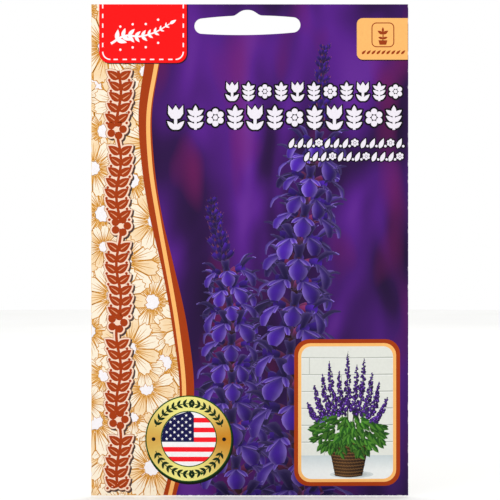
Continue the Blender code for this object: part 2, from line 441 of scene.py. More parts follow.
def folded_sheet():
    """Every face of the folded sheet: both panels, the lap, the flap, the folds and the cut edges."""
    shell = Shell()
    border = [(EDGE, 0), (WIDE - EDGE, 0), (WIDE - EDGE, TALL - EDGE), (EDGE, TALL - EDGE)]
    slots = {side: on_grid(slot_line(side)) for side in ("front", "back")}
    for side, slot in (("front", FRONT_COAT), ("back", BACK_COAT)):
        shell.panel(border, side, lambda u, v: 0 * u, slot, [slots[side]])
    lap = [(EDGE, 0), (LAP, 0), (LAP, TALL - EDGE), (EDGE, TALL - EDGE)]
    shell.panel(lap, "back", lap_lift, BACK_COAT)
    free_edge(shell, lap[1:3], (1, 0), lap_lift)
    top, rise = TALL - BOTTOM_FLAP, BOTTOM_FLAP - FLAP_END
    flap = [(EDGE, TALL - EDGE), (EDGE, TALL - FLAP_END), (FLAP_CORNER, top)]
    flap += [(WIDE - FLAP_CORNER, top), (WIDE - EDGE, TALL - FLAP_END), (WIDE - EDGE, TALL - EDGE)]
    shell.panel(flap, "back", draped, BACK_COAT)
    for k, out in ((1, (-rise, -FLAP_CORNER)), (2, (0, -1)), (3, (rise, -FLAP_CORNER))):
        free_edge(shell, flap[k : k + 2], out, draped)
    edge_rows(shell)
    slot_rows(shell, slots["front"])
    return shell


def colour(code):
    """An sRGB hex colour as linear numbers."""
    parts = [int(code[k : k + 2], 16) / 255 for k in (1, 3, 5)]
    return tuple(x / 12.92 if x <= 0.04045 else ((x + 0.055) / 1.055) ** 2.4 for x in parts)


def node(tree, kind, links=(), **settings):
    """Adds a node with its settings. links pairs an input with a value, a hex colour or a socket."""
    made = tree.nodes.new(kind)
    for name, value in settings.items():
        setattr(made, name, value)
    for key, value in links:
        if isinstance(value, bpy.types.NodeSocket):
            tree.links.new(value, made.inputs[key])
        elif isinstance(value, str) and value.startswith("#"):
            made.inputs[key].default_value = (*colour(value), 1)
        else:
            made.inputs[key].default_value = value
    return made


def principled(name, **sockets):
    """A material whose Principled shader has these constants on its own sockets: the material, its
    tree, the shader's sockets and the object's coordinates in metres. Nothing here shines strongly."""
    made = bpy.data.materials.new(name)
    made.use_nodes = True
    tree = made.node_tree
    shader = tree.nodes["Principled BSDF"]
    for key, value in {"Specular_IOR_Level": 0.12, **sockets}.items():
        shader.inputs[key.replace("_", " ")].default_value = value
    return made, tree, shader.inputs, node(tree, "ShaderNodeTexCoord").outputs["Object"]


def clouded(tree, at, grain_mm, stops, **details):
    """Clouds so many mm across, as a colour from their stops' places and hex colours, and as a value."""
    asked = [("Vector", at), ("Scale", 1 / (grain_mm * MM)), *details.items()]
    grain = node(tree, "ShaderNodeTexNoise", asked).outputs["Fac"]
    ramp = node(tree, "ShaderNodeValToRGB", [("Fac", grain)])
    elements = ramp.color_ramp.elements
    while len(elements) < len(stops):
        elements.new(0.5)
    for stop, (place, code) in zip(elements, stops):
        stop.position = place
        stop.color = (*colour(code), 1)
    return ramp.outputs["Color"], grain


def paper_bump(tree, sockets, at, strength, grain_mm):
    """The faint unevenness of a coated sheet: its fibre flocks and the finer orange peel of the coat."""
    asked = [("Vector", at), ("Scale", 1 / (grain_mm * MM)), ("Detail", 3)]
    flocks = node(tree, "ShaderNodeTexNoise", asked)
    relief = [("Height", flocks.outputs["Fac"]), ("Distance", 0.02 * MM), ("Strength", strength)]
    tree.links.new(node(tree, "ShaderNodeBump", relief).outputs["Normal"], sockets["Normal"])


def cut_paper():
    """Bare paper at a cut edge: matt, with loose fibres that break its outline and its shade."""
    made, tree, sockets, at = principled("guillotined_paper_core", Roughness=0.85)
    shade, fibres = clouded(tree, at, FIBRE_MM, ((0.0, "#C9C4B8"), (0.6, "#F4F2EC")))
    tree.links.new(shade, sockets["Base Color"])
    bump = node(tree, "ShaderNodeBump", [("Height", fibres), ("Distance", 0.03 * MM)])
    tree.links.new(bump.outputs["Normal"], sockets["Normal"])
    return made


def coated_paper(name):
    """The sheet's clay coat where no ink covers it: a soft sheen and the faint flocks of its fibres."""
    made, tree, sockets, at = principled(name, Roughness=0.42, Coat_Weight=0.15, Coat_Roughness=0.3)
    paper_bump(tree, sockets, at, 0.3, 1.1)
    flocks = clouded(tree, at, FLOCK_MM, ((0.0, "#ECEAE5"), (1.0, "#F7F5EF")))[0]
    tree.links.new(flocks, sockets["Base Color"])
    return made


def cracked_fold():
    """A fold in printed paper: the ink runs round it, cream at the left and violet at the right, and
    cracks along it, so that white fibres show through."""
    made, tree, sockets, at = principled("creased_printed_fold", Roughness=0.6)
    across = node(tree, "ShaderNodeSeparateXYZ", [("Vector", at)]).outputs["X"]
    right = node(tree, "ShaderNodeMath", [(0, across), (1, LEFT + BAND_FOOT * MM)], operation="GREATER_THAN")
    inks = [("Factor", right.outputs[0]), (6, FOLD_CREAM), (7, PRINT_VIOLET)]
    printed = node(tree, "ShaderNodeMix", inks, data_type="RGBA").outputs[2]
    longer = node(tree, "ShaderNodeMapping", [("Vector", at), ("Scale", (1, 1, 0.35))]).outputs["Vector"]
    asked = [("Vector", longer), ("Scale", 1 / (CRACK_MM * MM)), ("Detail", 6.0)]
    cracks = node(tree, "ShaderNodeTexNoise", asked).outputs["Fac"]
    asked = [("Value", cracks), ("From Min", 0.52), ("From Max", 0.62)]
    share = node(tree, "ShaderNodeMapRange", asked).outputs["Result"]
    worn = node(tree, "ShaderNodeMix", [("Factor", share), (6, printed), (7, "#E4DDE8")], data_type="RGBA")
    tree.links.new(worn.outputs[2], sockets["Base Color"])
    return made


SHEET = folded_sheet()
envelope_paper = made_piece(
    "envelope_paper",
    np.concatenate(SHEET.places),
    np.concatenate(SHEET.normals),
    SHEET.sizes,
    [cut_paper(), coated_paper("clay_coated_front"), coated_paper("clay_coated_back"), cracked_fold()],
    slots=SHEET.slots,
)
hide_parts("envelope")


# The flower band's print.
# The band down the left is a cream ground with golden line-drawn blossoms, crowded one over another and
# cut off by the packet's edge and by the stripes. Ink is laid on the coat in films, each a hundredth of a
# mm over the one below. The blossoms are copies of one drawn motif.
FILM = 0.01
BAND_FILM = 1.0
BLOSSOM_STEP = 0.2
BLOSSOM_FILMS = 9
COLUMN_START, COLUMN_PITCH, COLUMNS = -1.0, 12.5, 3
ROW_SHIFT = 6.0
JITTER_U, JITTER_V = 2.2, 1.8
BLOSSOMS = (
    # petals, the seed, the smallest and the largest radius, the rows' pitch and the first film
    (11, 3, (8.6, 11.6), 12.5, 0),
    (13, 8, (5.6, 8.4), 15.0, 4),
)
GOLD_WIDTH = 0.026
CREAM, HONEY, GOLD_LINE = colour("#FFF3DC"), colour("#F7C77C"), colour("#D08A22")
CENTRE_WHITE = colour("#FBF7FA")
MOTTLE_MM = 0.9
STRIPE_KNOTS = (
    # v, middle of the orange line, left rust width, right rust width
    (0.0, 22.6, 2.5, 0.3),
    (17.8, 19.8, 2.9, 0.3),
    (33.2, 17.4, 2.4, 0.4),
    (47.1, 17.8, 2.0, 0.6),
    (66.5, 20.7, 1.8, 0.7),
    (76.8, 22.6, 1.2, 1.3),
    (98.6, 26.3, 0.9, 2.4),
    (118.0, 28.2, 0.7, 2.4),
    (134.0, 27.0, 0.9, 1.9),
    (149.2, 23.7, 1.4, 1.2),
)


def smooth_line(knots, count):
    """A smooth line of count points through the knots."""
    knots = np.asarray(knots, float)
    steps = np.linalg.norm(np.diff(knots, axis=0), axis=1)
    at = np.concatenate([[0], np.cumsum(steps)])
    slopes = np.gradient(knots, at, axis=0)
    where = np.linspace(0, at[-1], count)
    k = np.clip(np.searchsorted(at, where, "right") - 1, 0, len(knots) - 2)
    span = (at[k + 1] - at[k])[:, None]
    t = ((where - at[k])[:, None]) / span
    line = knots[k] * (2 * t**3 - 3 * t**2 + 1) + knots[k + 1] * (3 * t**2 - 2 * t**3)
    line += slopes[k] * span * (t**3 - 2 * t**2 + t) + slopes[k + 1] * span * (t**3 - t**2)
    return line


def mixed(one, other, share):
    """The colour that lies a share of the way from one colour to the other."""
    return tuple(a + (b - a) * min(max(share, 0), 1) for a, b in zip(one, other))


def laid(name, artwork, side, material, lift=None):
    """The artwork's films on a panel, or on the layer that a lift puts over it, as one piece."""
    corners, sizes = [], []
    for points, paint, film in gridded(artwork.pieces):
        for u, v, *own in faced(points):
            corners.append((u, v, *(own or (film, *(paint(u, v) if callable(paint) else paint)))))
        sizes.append(len(points))
    corners = np.array(corners)
    up = corners[:, 2] * FILM + (lift(corners[:, 0], corners[:, 1]) if lift else 0)
    places, normals = on_panel(corners[:, 0], corners[:, 1], up, side)
    made = made_piece(name, places, normals, sizes, [material], corners[:, 3:6])
    return made


def printed_ink(name):
    """Process ink on a coated sheet: its colour comes with the artwork, with a low sheen and the press's
    fine mottle, drawn coarser than the real one so that it shows."""
    made, tree, sockets, at = principled(name, Roughness=0.36)
    paper_bump(tree, sockets, at, 0.25, 0.6)
    ink = node(tree, "ShaderNodeAttribute", attribute_name="ink").outputs["Color"]
    mottle = node(tree, "ShaderNodeTexNoise", [("Vector", at), ("Scale", 1 / (MOTTLE_MM * MM))])
    spread = [("Value", mottle.outputs["Fac"]), ("To Min", 0.87), ("To Max", 0.97)]
    share = node(tree, "ShaderNodeMapRange", spread).outputs["Result"]
    toned = node(tree, "ShaderNodeVectorMath", [(0, ink), ("Scale", share)], operation="SCALE")
    tree.links.new(toned.outputs["Vector"], sockets["Base Color"])
    return made


def copies_tree():
    """Sets a motif out on a mesh of points that carry each copy's turn and size."""
    tree = bpy.data.node_groups.new("motif_copies", "GeometryNodeTree")
    asked = (("Spots", "Geometry"), ("Motif", "Object"), ("Size in mm", "Float"), ("Solid", "Float"),
             ("Ink", "Material"))
    for name, kind in asked:
        tree.interface.new_socket(name, in_out="INPUT", socket_type="NodeSocket" + kind)
    tree.interface.new_socket("Copies", in_out="OUTPUT", socket_type="NodeSocketGeometry")
    given = node(tree, "NodeGroupInput").outputs
    motif = node(tree, "GeometryNodeObjectInfo", [("Object", given["Motif"]), ("As Instance", True)])
    turn, size = (node(tree, "GeometryNodeInputNamedAttribute", [("Name", name)]).outputs["Attribute"]
                  for name in ("turn", "size"))
    angle = node(tree, "ShaderNodeCombineXYZ", [("Z", turn)]).outputs[0]
    across = [(0, size), (1, given["Size in mm"])]
    sized = node(tree, "ShaderNodeMath", across, operation="MULTIPLY").outputs[0]
    extra = node(tree, "ShaderNodeMath", [(0, sized), (1, 1.0)], operation="SUBTRACT").outputs[0]
    solid = [(0, extra), (1, given["Solid"]), (2, 1.0)]
    deep = node(tree, "ShaderNodeMath", solid, operation="MULTIPLY_ADD").outputs[0]
    scale = node(tree, "ShaderNodeCombineXYZ", [("X", sized), ("Y", sized), ("Z", deep)]).outputs[0]
    copies = node(tree, "GeometryNodeInstanceOnPoints", [
        ("Points", given["Spots"]),
        ("Instance", motif.outputs["Geometry"]),
        ("Rotation", angle),
        ("Scale", scale),
    ])
    real = node(tree, "GeometryNodeRealizeInstances", [("Geometry", copies.outputs[0])]).outputs[0]
    inked = node(tree, "GeometryNodeSetMaterial", [("Geometry", real), ("Material", given["Ink"])])
    node(tree, "NodeGroupOutput", [(0, inked.outputs[0])])
    return tree


def motif_object(pieces):
    """A motif as a mesh: mm across, films for height, its paint on the faces' corners."""
    points, faces, inks = [], [], []
    for outline, paint, film in pieces:
        faces.append(range(len(points), len(points) + len(outline)))
        for p in outline:
            points.append((p[0], p[1], p[2] if len(p) > 2 else film))
            inks.append((*(p[3:6] if len(p) > 2 else paint(*p) if callable(paint) else paint), 1))
    welded, at = np.unique(np.round(points, 5), axis=0, return_inverse=True)
    data = bpy.data.meshes.new("motif")
    data.from_pydata(welded.tolist(), [], [at.ravel()[list(f)].tolist() for f in faces])
    layer = data.color_attributes.new("ink", "FLOAT_COLOR", "CORNER")
    layer.data.foreach_set("color", np.array(inks, np.float32).ravel())
    made = bpy.data.objects.new("motif", data)
    bpy.context.scene.collection.objects.link(made)
    return made


def set_out(motif, spots, size=1.0, light=None, films=None):
    """The pieces of a motif copied to spots by Geometry Nodes. A spot is u, v and film, and then turn,
    size and shade, which may be left off from the last. A solid motif has its depth and its spots' in
    mm: light makes its paints from its paints and normals, and films says how its depth is pressed, as
    the middle film and films for a mm."""
    motif = motif_object(motif)
    spots = np.array([(*spot, *(0, 1, 1)[len(spot) - 3 :]) for spot in spots], float)
    data = bpy.data.meshes.new("spots")
    data.from_pydata(spots[:, :3].tolist(), [], [])
    for k, name in ((3, "turn"), (4, "size"), (5, "shade")):
        values = spots[:, k].astype(np.float32)
        data.attributes.new(name, "FLOAT", "POINT").data.foreach_set("value", values)
    holder = bpy.data.objects.new("spots", data)
    bpy.context.scene.collection.objects.link(holder)
    maker = holder.modifiers.new("copies", "NODES")
    maker.node_group = COPIES
    inputs = {s.name: s.identifier for s in COPIES.interface.items_tree if s.in_out == "INPUT"}
    wanted = {"Motif": motif, "Size in mm": float(size), "Solid": 1.0 if films else 0.0, "Ink": INK}
    for name, value in wanted.items():
        maker[inputs[name]] = value
    graph = bpy.context.evaluated_depsgraph_get()
    made = bpy.data.meshes.new_from_object(holder.evaluated_get(graph), depsgraph=graph)
    count = len(made.loops)
    points, facing = np.empty((2, len(made.vertices), 3), np.float32)
    shade, at = np.empty(len(points), np.float32), np.empty(count, int)
    paints = np.empty((count, 4), np.float32)
    made.vertices.foreach_get("co", points.reshape(-1))
    made.vertex_normals.foreach_get("vector", facing.reshape(-1))
    made.attributes["shade"].data.foreach_get("value", shade)
    made.loops.foreach_get("vertex_index", at)
    made.attributes["ink"].data.foreach_get("color", paints.reshape(-1))
    paints = paints[:, :3] * shade[at][:, None]
    if light:
        paints = light(paints, facing[at])
    if films:
        points[:, 2] = films[0] + films[1] * points[:, 2]
    corners = np.concatenate([points[at], paints], 1).tolist()
    pieces = [([tuple(c) for c in corners[f.loop_start : f.loop_start + f.loop_total]], None, None)
              for f in made.polygons]
    for thing in (holder, motif):
        bpy.data.objects.remove(thing)
    bpy.data.meshes.remove(made)
    return pieces


def blossom(petals):
    """A drawn blossom one unit across its radius: broad petals with a toothed tip and fine veins."""
    drawn = Artwork()
    half = math.pi / petals
    spots = (-1, -0.62, -0.33, 0, 0.33, 0.62, 1)
    tip = (0.80, 0.965, 0.93, 1.0, 0.93, 0.965, 0.80)
    rows = ((0.2, 0.45, HONEY), (0.36, 0.8, mixed(HONEY, CREAM, 0.45)))
    rows += ((0.58, 0.97, CREAM), (0.78, 0.96, CREAM))
    for petal in range(petals):
        middle = 2 * half * petal
        shade = 0.0 if petal % 3 else 0.55

        def at(r, s, wide=1.0):
            turn = middle + s * half * wide
            return r * math.cos(turn), r * math.sin(turn)

        lines = [([at(r, s, wide) for s in spots], mixed(paint, HONEY, shade)) for r, wide, paint in rows]
        lines.append(([at(r, s, 0.9) for r, s in zip(tip, spots)], mixed(CREAM, HONEY, shade * 0.6)))
        for (one, near), (other, far) in zip(lines, lines[1:]):
            for k in range(len(spots) - 1):
                quad = [(*one[k], 0, *near), (*one[k + 1], 0, *near)]
                quad += [(*other[k + 1], 0, *far), (*other[k], 0, *far)]
                drawn.pieces.append((quad, None, 0))
        side, back = ([at(r, s, wide) for r, wide, _ in rows] for s in (-1, 1))
        drawn.stroke([*side, *lines[-1][0], *back[::-1]], GOLD_WIDTH, GOLD_LINE, 0.1)
        for s, end in ((-0.5, 0.72), (0.02, 0.86), (0.45, 0.66)):
            vein = [at(0.26 + (end - 0.26) * t, s * (0.5 + 0.5 * t)) for t in (0, 0.35, 0.7, 1)]
            drawn.stroke(vein, (0.024, 0.02, 0.014, 0.006), GOLD_LINE, 0.1)
    edge = []
    for t in np.linspace(0, 2 * math.pi, 36, endpoint=False):
        r = 0.235 + 0.015 * math.cos(9 * t)
        edge.append((r * math.cos(t), r * math.sin(t)))
    drawn.fill(edge, CENTRE_WHITE, 0.15)
    drawn.stroke(edge, 0.02, GOLD_LINE, 0.15, closed=True)
    return drawn.pieces


def scattered_blossoms(seed, radii, step, first):
    """Places for the blossoms down the band, jittered off three staggered columns."""
    chance = np.random.default_rng(seed)
    spots = []
    for row in range(int(TALL / step) + 2):
        for column in range(COLUMNS):
            u = COLUMN_START + COLUMN_PITCH * column + (row % 2) * ROW_SHIFT
            u += chance.uniform(-JITTER_U, JITTER_U)
            v = row * step + column * step / COLUMNS + chance.uniform(-JITTER_V, JITTER_V)
            film = BAND_FILM + BLOSSOM_STEP * ((5 * len(spots) + first) % BLOSSOM_FILMS)
            spots.append((u, v, film, chance.uniform(0, 6.28), chance.uniform(*radii)))
    return spots


STRIPES = smooth_line([(middle, v, left, right) for v, middle, left, right in STRIPE_KNOTS], 90)
COPIES = copies_tree()
INK = printed_ink("offset_process_ink")
band = Artwork()
edge_of_band = [(u + 1.0, v) for u, v, *_ in STRIPES]
band.fill([(0, 0), *edge_of_band, (0, TALL)], HONEY, BAND_FILM * 0.7)
for petals, seed, radii, step, first in BLOSSOMS:
    for piece in set_out(blossom(petals), scattered_blossoms(seed, radii, step, first)):
        if any(p[0] < np.interp(p[1], STRIPES[:, 1], STRIPES[:, 0]) for p in piece[0]):
            band.pieces.append(piece)
laid("blossom_band", band, "front", INK)


# The purple ground of the front.
# Four-colour offset print of a flower bed out of focus: violet and magenta clouds, darker to the foot.
# It covers all of the front to the right of the stripes.
GROUND_FILM = 3
GROUND_SHADES = (
    # where on the ramp, and the colour there
    (0.27, "#17042A"),
    (0.39, "#2C0A47"),
    (0.5, PRINT_VIOLET),
    (0.6, "#531A84"),
    (0.74, "#6A2E98"),
)
CLOUD_MM, BLOT_MM = 17, 11
CLOUD_LEAN = math.radians(12)


def purple_print():
    """Offset print of blurred flowers: broad soft clouds, drawn out upwards as spikes are, with magenta
    blots, under the same low sheen as the other ink."""
    made, tree, sockets, at = principled("offset_violet_ground", Roughness=0.36)
    paper_bump(tree, sockets, at, 0.25, 0.6)
    drawn_out = [("Vector", at), ("Scale", (1, 1, 0.42)), ("Rotation", (0, CLOUD_LEAN, 0))]
    tall = node(tree, "ShaderNodeMapping", drawn_out).outputs["Vector"]
    clouds = clouded(tree, tall, CLOUD_MM, GROUND_SHADES, Detail=1.2, Distortion=0.5)[0]
    asked = [("Vector", tall), ("Scale", 1 / (BLOT_MM * MM)), ("Detail", 0.5)]
    blots = node(tree, "ShaderNodeTexNoise", asked)
    apart = node(tree, "ShaderNodeSeparateXYZ", [("Vector", at)])
    spans = (
        # a value, where it starts and ends, and what it becomes there
        (blots.outputs["Fac"], 0.55, 0.75, 0.0, 0.6),
        (apart.outputs["Z"], -60 * MM, BOTTOM, 0.0, 0.8),
        (apart.outputs["X"], -20 * MM, RIGHT, 0.25, 1.0),
    )
    shares = []
    for value, start, end, low, high in spans:
        asked = [("Value", value), ("From Min", start), ("From Max", end), ("To Min", low), ("To Max", high)]
        shares.append(node(tree, "ShaderNodeMapRange", asked).outputs["Result"])
    blot, low, right = shares
    magenta = node(tree, "ShaderNodeMix", [("Factor", blot), (6, clouds), (7, "#701458")], data_type="RGBA")
    corner = node(tree, "ShaderNodeMath", [(0, low), (1, right)], operation="MULTIPLY").outputs["Value"]
    shaded = [("Factor", corner), (6, magenta.outputs[2]), (7, "#16072A")]
    dark = node(tree, "ShaderNodeMix", shaded, data_type="RGBA")
    tree.links.new(dark.outputs[2], sockets["Base Color"])
    return made


ground = Artwork()
right_of_stripes = [(u, v) for u, v, *_ in STRIPES] + [(WIDE, TALL), (WIDE, 0)]
ground.fill(right_of_stripes, colour(PRINT_VIOLET), GROUND_FILM, [on_grid(slot_line("front"))])
laid("violet_ground", ground, "front", purple_print())


# The curved stripes.
# Two rust stripes with a light orange line between them, printed along the edge of the flower band.
# The left one narrows down the packet while the right one widens.
STRIPE_FILM = 9
ORANGE_LINE = 1.25
RUST, ORANGE = colour("#A83A04"), colour("#FFBE6E")

stripes = Artwork()
middle, down, left_rust, right_rust = STRIPES.T
ends = (-ORANGE_LINE / 2 - left_rust, -ORANGE_LINE / 2, ORANGE_LINE / 2, ORANGE_LINE / 2 + right_rust)
sides = [np.stack([middle + end, down], 1) for end in ends]
for one, other, paint in zip(sides, sides[1:], (RUST, ORANGE, RUST)):
    stripes.between(one, other, paint, STRIPE_FILM)
laid("curved_stripes", stripes, "front", INK)


# The flower spikes.
# The picture on the front: two violet flower spikes against the blurred bed. Solid florets are drawn in
# whorls up each stem, lit as in a photograph, and pressed flat into the thickness of the ink.
SPIKE_FILMS = (6.4, 0.15)
SPIKES = (
    # the stem from foot to tip, the florets' size at the foot and at the top, and the seed
    (((45.0, 153.0), (42.5, 122.0), (42.5, 94.0), (36.5, 60.0)), 1.1, 0.66, 5),
    (((64.0, 153.0), (60.5, 118.0), (62.5, 78.0), (68.0, 44.0), (70.5, 13.0)), 1.38, 0.66, 9),
)
STEM_POINTS = 400
FIRST_WHORL = 3.0
WHORL_PITCH = 6.6
BUD_PITCH = 0.42
WHORLS = ((-28, 0, 62, 118, 180), (-12, 30, 90, 150, 208))
FOOT_SHADE = 0.6
BUD_SHARE = 0.8
SUN = np.array((-0.46, -0.60, 0.655))
SKY_LIGHT, SUN_POWER, RIM_SHARE, RIM_POWER = 0.24, 1.5, 0.13, 2.5
DEEP_VIOLET, VIOLET, LILAC = colour("#25096A"), colour("#4A1EA6"), colour("#A58AE8")
MAROON, ROSE, STEM_BROWN = colour("#2A0A22"), colour("#8A2C66"), colour("#3A1A22")
BRACT_PINK = colour("#C878A8")
RIM_LIGHT = np.array(colour("#A890E8"))


def sunlit(paints, facing):
    """A photographed surface's paints: shaded away from the sun, with pale light round its rims."""
    facing = facing * np.where(facing[:, 2:] < 0, -1, 1)
    glow = np.clip(facing @ SUN, 0, 1)[:, None]
    rim = np.clip(1 - facing[:, 2:], 0, 1) ** RIM_POWER
    return np.clip(paints * (SKY_LIGHT + glow**SUN_POWER) + rim * RIM_LIGHT * RIM_SHARE, 0, 1)


def joined(grid, closed=False):
    """Quads between neighbouring lines of points that carry their paints."""
    pieces = []
    for k in range(len(grid) - (not closed)):
        one, other = grid[k], grid[(k + 1) % len(grid)]
        for j in range(len(one) - 1):
            pieces.append(([one[j], one[j + 1], other[j + 1], other[j]], None, 0))
    return pieces


def spined(spine, sizes, rows):
    """A smooth line along a spine, with the shares, the sizes and the upward ways at its points."""
    line = smooth_line(spine, rows)
    share = np.linspace(0, 1, rows)
    ahead = np.gradient(line, axis=0)
    up = np.cross(ahead, (0, 0, 1)) / np.linalg.norm(ahead, axis=1)[:, None]
    return line, share, np.interp(share, np.linspace(0, 1, len(sizes)), sizes), up


def petal(spine, halves, cup, foot, tip, rim, rows=6, columns=4):
    """A cupped petal along a spine, with its breadth across the floret."""
    line, share, half, up = spined(spine, halves, rows)
    grid = []
    for s in np.linspace(-1, 1, columns + 1):
        places = line + np.outer(half * s, (0, 0, 1)) + up * (cup * half * (1 - s * s))[:, None]
        paints = [mixed(mixed(foot, tip, t), rim, abs(s) ** 3 * 0.55 * (0.4 + t)) for t in share]
        grid.append([(*p, *c) for p, c in zip(places, paints)])
    return joined(grid)


def tube(spine, radii, foot, tip, rows=4, count=8):
    """A round body along a spine."""
    line, share, radius, up = spined(spine, radii, rows)
    grid = []
    for turn in np.linspace(0, 2 * math.pi, count, endpoint=False):
        out = up * math.cos(turn) + np.outer(np.ones(rows), (0, 0, math.sin(turn)))
        grid.append([(*p, *mixed(foot, tip, t)) for p, t in zip(line + out * radius[:, None], share)])
    return joined(grid, closed=True)


def floret():
    """A two-lipped floret that stands out from the stem along x, in mm: calyx, tube, hood and lip."""
    parts = tube([(0, 0, 0), (1.8, -0.9, 0), (3.9, -1.7, 0)], (0.5, 1.3, 1.35), MAROON, ROSE)
    parts += tube([(3.0, -1.4, 0), (5.0, -2.1, 0), (6.6, -2.2, 0)], (0.9, 1.3, 1.5), DEEP_VIOLET, VIOLET)
    hood = [(5.4, -2.6, 0), (7.2, -4.8, 0), (9.4, -6.3, 0), (11.8, -6.0, 0)]
    parts += petal(hood, (0.9, 1.6, 1.8, 0.6), -0.6, DEEP_VIOLET, VIOLET, LILAC)
    lip = [(6.0, -1.4, 0), (8.2, 0.0, 0), (10.0, 1.9, 0), (10.4, 4.4, 0)]
    parts += petal(lip, (0.7, 1.3, 2.5, 2.9, 1.3), 0.34, DEEP_VIOLET, VIOLET, LILAC, rows=7, columns=6)
    for side in (-1, 1):
        lobe = [(6.0, -1.7, side * 0.6), (7.6, -0.8, side * 2.0), (8.8, 0.5, side * 3.2)]
        parts += petal(lobe, (0.6, 1.2, 0.5), 0.3, DEEP_VIOLET, VIOLET, LILAC, rows=4, columns=2)
    return parts


def bud():
    """A closed bud in its pointed, rose-coloured bracts."""
    parts = tube([(0, 0, 0), (1.8, -1.3, 0), (3.6, -3.4, 0)], (0.4, 1.35, 0.9), MAROON, VIOLET)
    bract = [(0.2, 0.4, 0), (2.6, -0.9, 0), (4.4, -4.4, 0)]
    return parts + petal(bract, (0.5, 1.1, 0.1), 0.5, MAROON, ROSE, BRACT_PINK, rows=4, columns=2)


def swung(parts, degrees):
    """Solid parts turned about the stem, from along x towards the viewer."""
    c, s = math.cos(math.radians(degrees)), math.sin(math.radians(degrees))
    turned = lambda p: (p[0] * c - p[2] * s, p[1], p[0] * s + p[2] * c, *p[3:])
    return [([turned(p) for p in points], None, 0) for points, *_ in parts]


picture = Artwork()
for path, low_size, top_size, seed in SPIKES:
    chance = np.random.default_rng(seed)
    line = smooth_line(path, STEM_POINTS)
    along = np.concatenate([[0], np.cumsum(np.linalg.norm(np.diff(line, axis=0), axis=1))])
    stem = [(u, v, 0.0) for u, v in line[::10]]
    stalk = tube(stem, (1.5, 1.1, 0.5), STEM_BROWN, MAROON, rows=len(stem))
    picture.pieces += set_out(stalk, [(0, 0, -1.0)], light=sunlit, films=SPIKE_FILMS)
    places = {}
    at, number = FIRST_WHORL, 0
    while at < along[-1]:
        share = at / along[-1]
        size = low_size + (top_size - low_size) * share
        k = np.searchsorted(along, at)
        lean = line[min(k + 4, STEM_POINTS - 1)] - line[max(k - 4, 0)]
        turn = math.atan2(lean[0], -lean[1])
        young = share > BUD_SHARE
        smaller = 0.62 + 0.5 * (1 - share) / (1 - BUD_SHARE) if young else 1
        deep = FOOT_SHADE + (1 - FOOT_SHADE) * min(share / BUD_SHARE, 1)
        for swing in WHORLS[number % 2]:
            grown_to = size * chance.uniform(0.86, 1.12) * smaller
            shade = deep * chance.uniform(0.75, 1.2) * (0.8 + 0.3 * math.sin(math.radians(max(swing, 0))))
            place = line[k] + chance.uniform(-0.5, 0.5, 2)
            spot = (*place, 0.0, turn + chance.uniform(-0.22, 0.22), grown_to, shade)
            places.setdefault((young, swing), []).append(spot)
        at += WHORL_PITCH * size * (BUD_PITCH if young else 1)
        number += 1
    for (young, swing), spots in places.items():
        solid = swung(bud() if young else floret(), swing)
        picture.pieces += set_out(solid, spots, light=sunlit, films=SPIKE_FILMS)
picture.pieces = clipped(picture.pieces, (STRIPES[:, 0].min(), 0), (WIDE, TALL))
laid("flower_picture", picture, "front", INK)


# The garland down the band.
# Rust leaves, berries and blossoms overprinted on the band in a column, each with a cream and a brown
# outline and a dark drop shadow, all in flat ink.
GARLAND_U = 8.35
GARLAND_SPAN = (21.6, 145.3)
GARLAND_WAVE = (0.7, 21.0)
LEAF_PITCH = 3.25
LEAF_SIZE, BLOSSOM_R, BERRY_R, CENTRE_R = (4.5, 2.6), 3.3, 0.42, 0.85
BERRY_OUT = 3.0
STEM_WIDTH = 0.85
GARLAND_LAYERS = (
    # how far the outline is grown, how far it is shifted, its ink and its film
    (0.62, 0.42, colour("#4B3A38"), 4.0),
    (0.62, 0.0, colour("#A5673F"), 4.3),
    (0.48, 0.0, colour("#FBDCC4"), 4.6),
    (0.0, 0.0, RUST, 4.9),
)
VEIN = colour("#E9A27A")


def leaf(length, wide, at=(0.0, 0.0), turn=0.0, count=8):
    """A leaf's outline from its foot, pointing along turn."""
    t = np.linspace(0, 1, count)
    half = wide / 2 * np.sin(math.pi * t**0.75) ** 0.9
    x = np.concatenate([length * t, length * t[-2:0:-1]])
    y = np.concatenate([half, -half[-2:0:-1]])
    c, s = math.cos(turn), math.sin(turn)
    return [(at[0] + a * c - b * s, at[1] + a * s + b * c) for a, b in zip(x, y)]


def grown(outline, by):
    """A closed outline moved outwards by as many mm."""
    line = np.asarray(outline, float)
    ahead = np.roll(line, -1, 0) - np.roll(line, 1, 0)
    ahead /= np.maximum(np.linalg.norm(ahead, axis=1), 1e-9)[:, None]
    area = np.sum(line[:, 0] * np.roll(line[:, 1], -1) - np.roll(line[:, 0], -1) * line[:, 1])
    return line + np.stack([ahead[:, 1], -ahead[:, 0]], 1) * (by if area > 0 else -by)


def filled(outlines, paint, step=0.0):
    """The pieces of filled outlines, each a step of films over the one before."""
    motif = Artwork()
    for k, outline in enumerate(outlines):
        motif.fill(outline, paint, step * k)
    return motif.pieces


def layered(outlines, spots, layers):
    """Copies of outlines at spots of u, v, turn and size, each layer grown and shifted in its own ink."""
    pieces = []
    for by, shift, paint, film in layers:
        places = [(u + shift, v + shift, film + 0.04 * (k % 4), turn, size)
                  for k, (u, v, turn, size) in enumerate(spots)]
        motif = filled([grown(outline, by) if by else outline for outline in outlines], paint, 0.03)
        pieces += set_out(motif, places)
    return pieces


def five_petals(radius, count=5):
    """The outlines of a plain round blossom's petals."""
    outlines = []
    for k in range(count):
        turn = 2 * math.pi * k / count - math.pi / 2
        centre = (radius * 0.6 * math.cos(turn), radius * 0.6 * math.sin(turn))
        outlines.append(ring(centre, radius * 0.57 * math.sin(math.pi / count) * 1.08, 14))
    return outlines


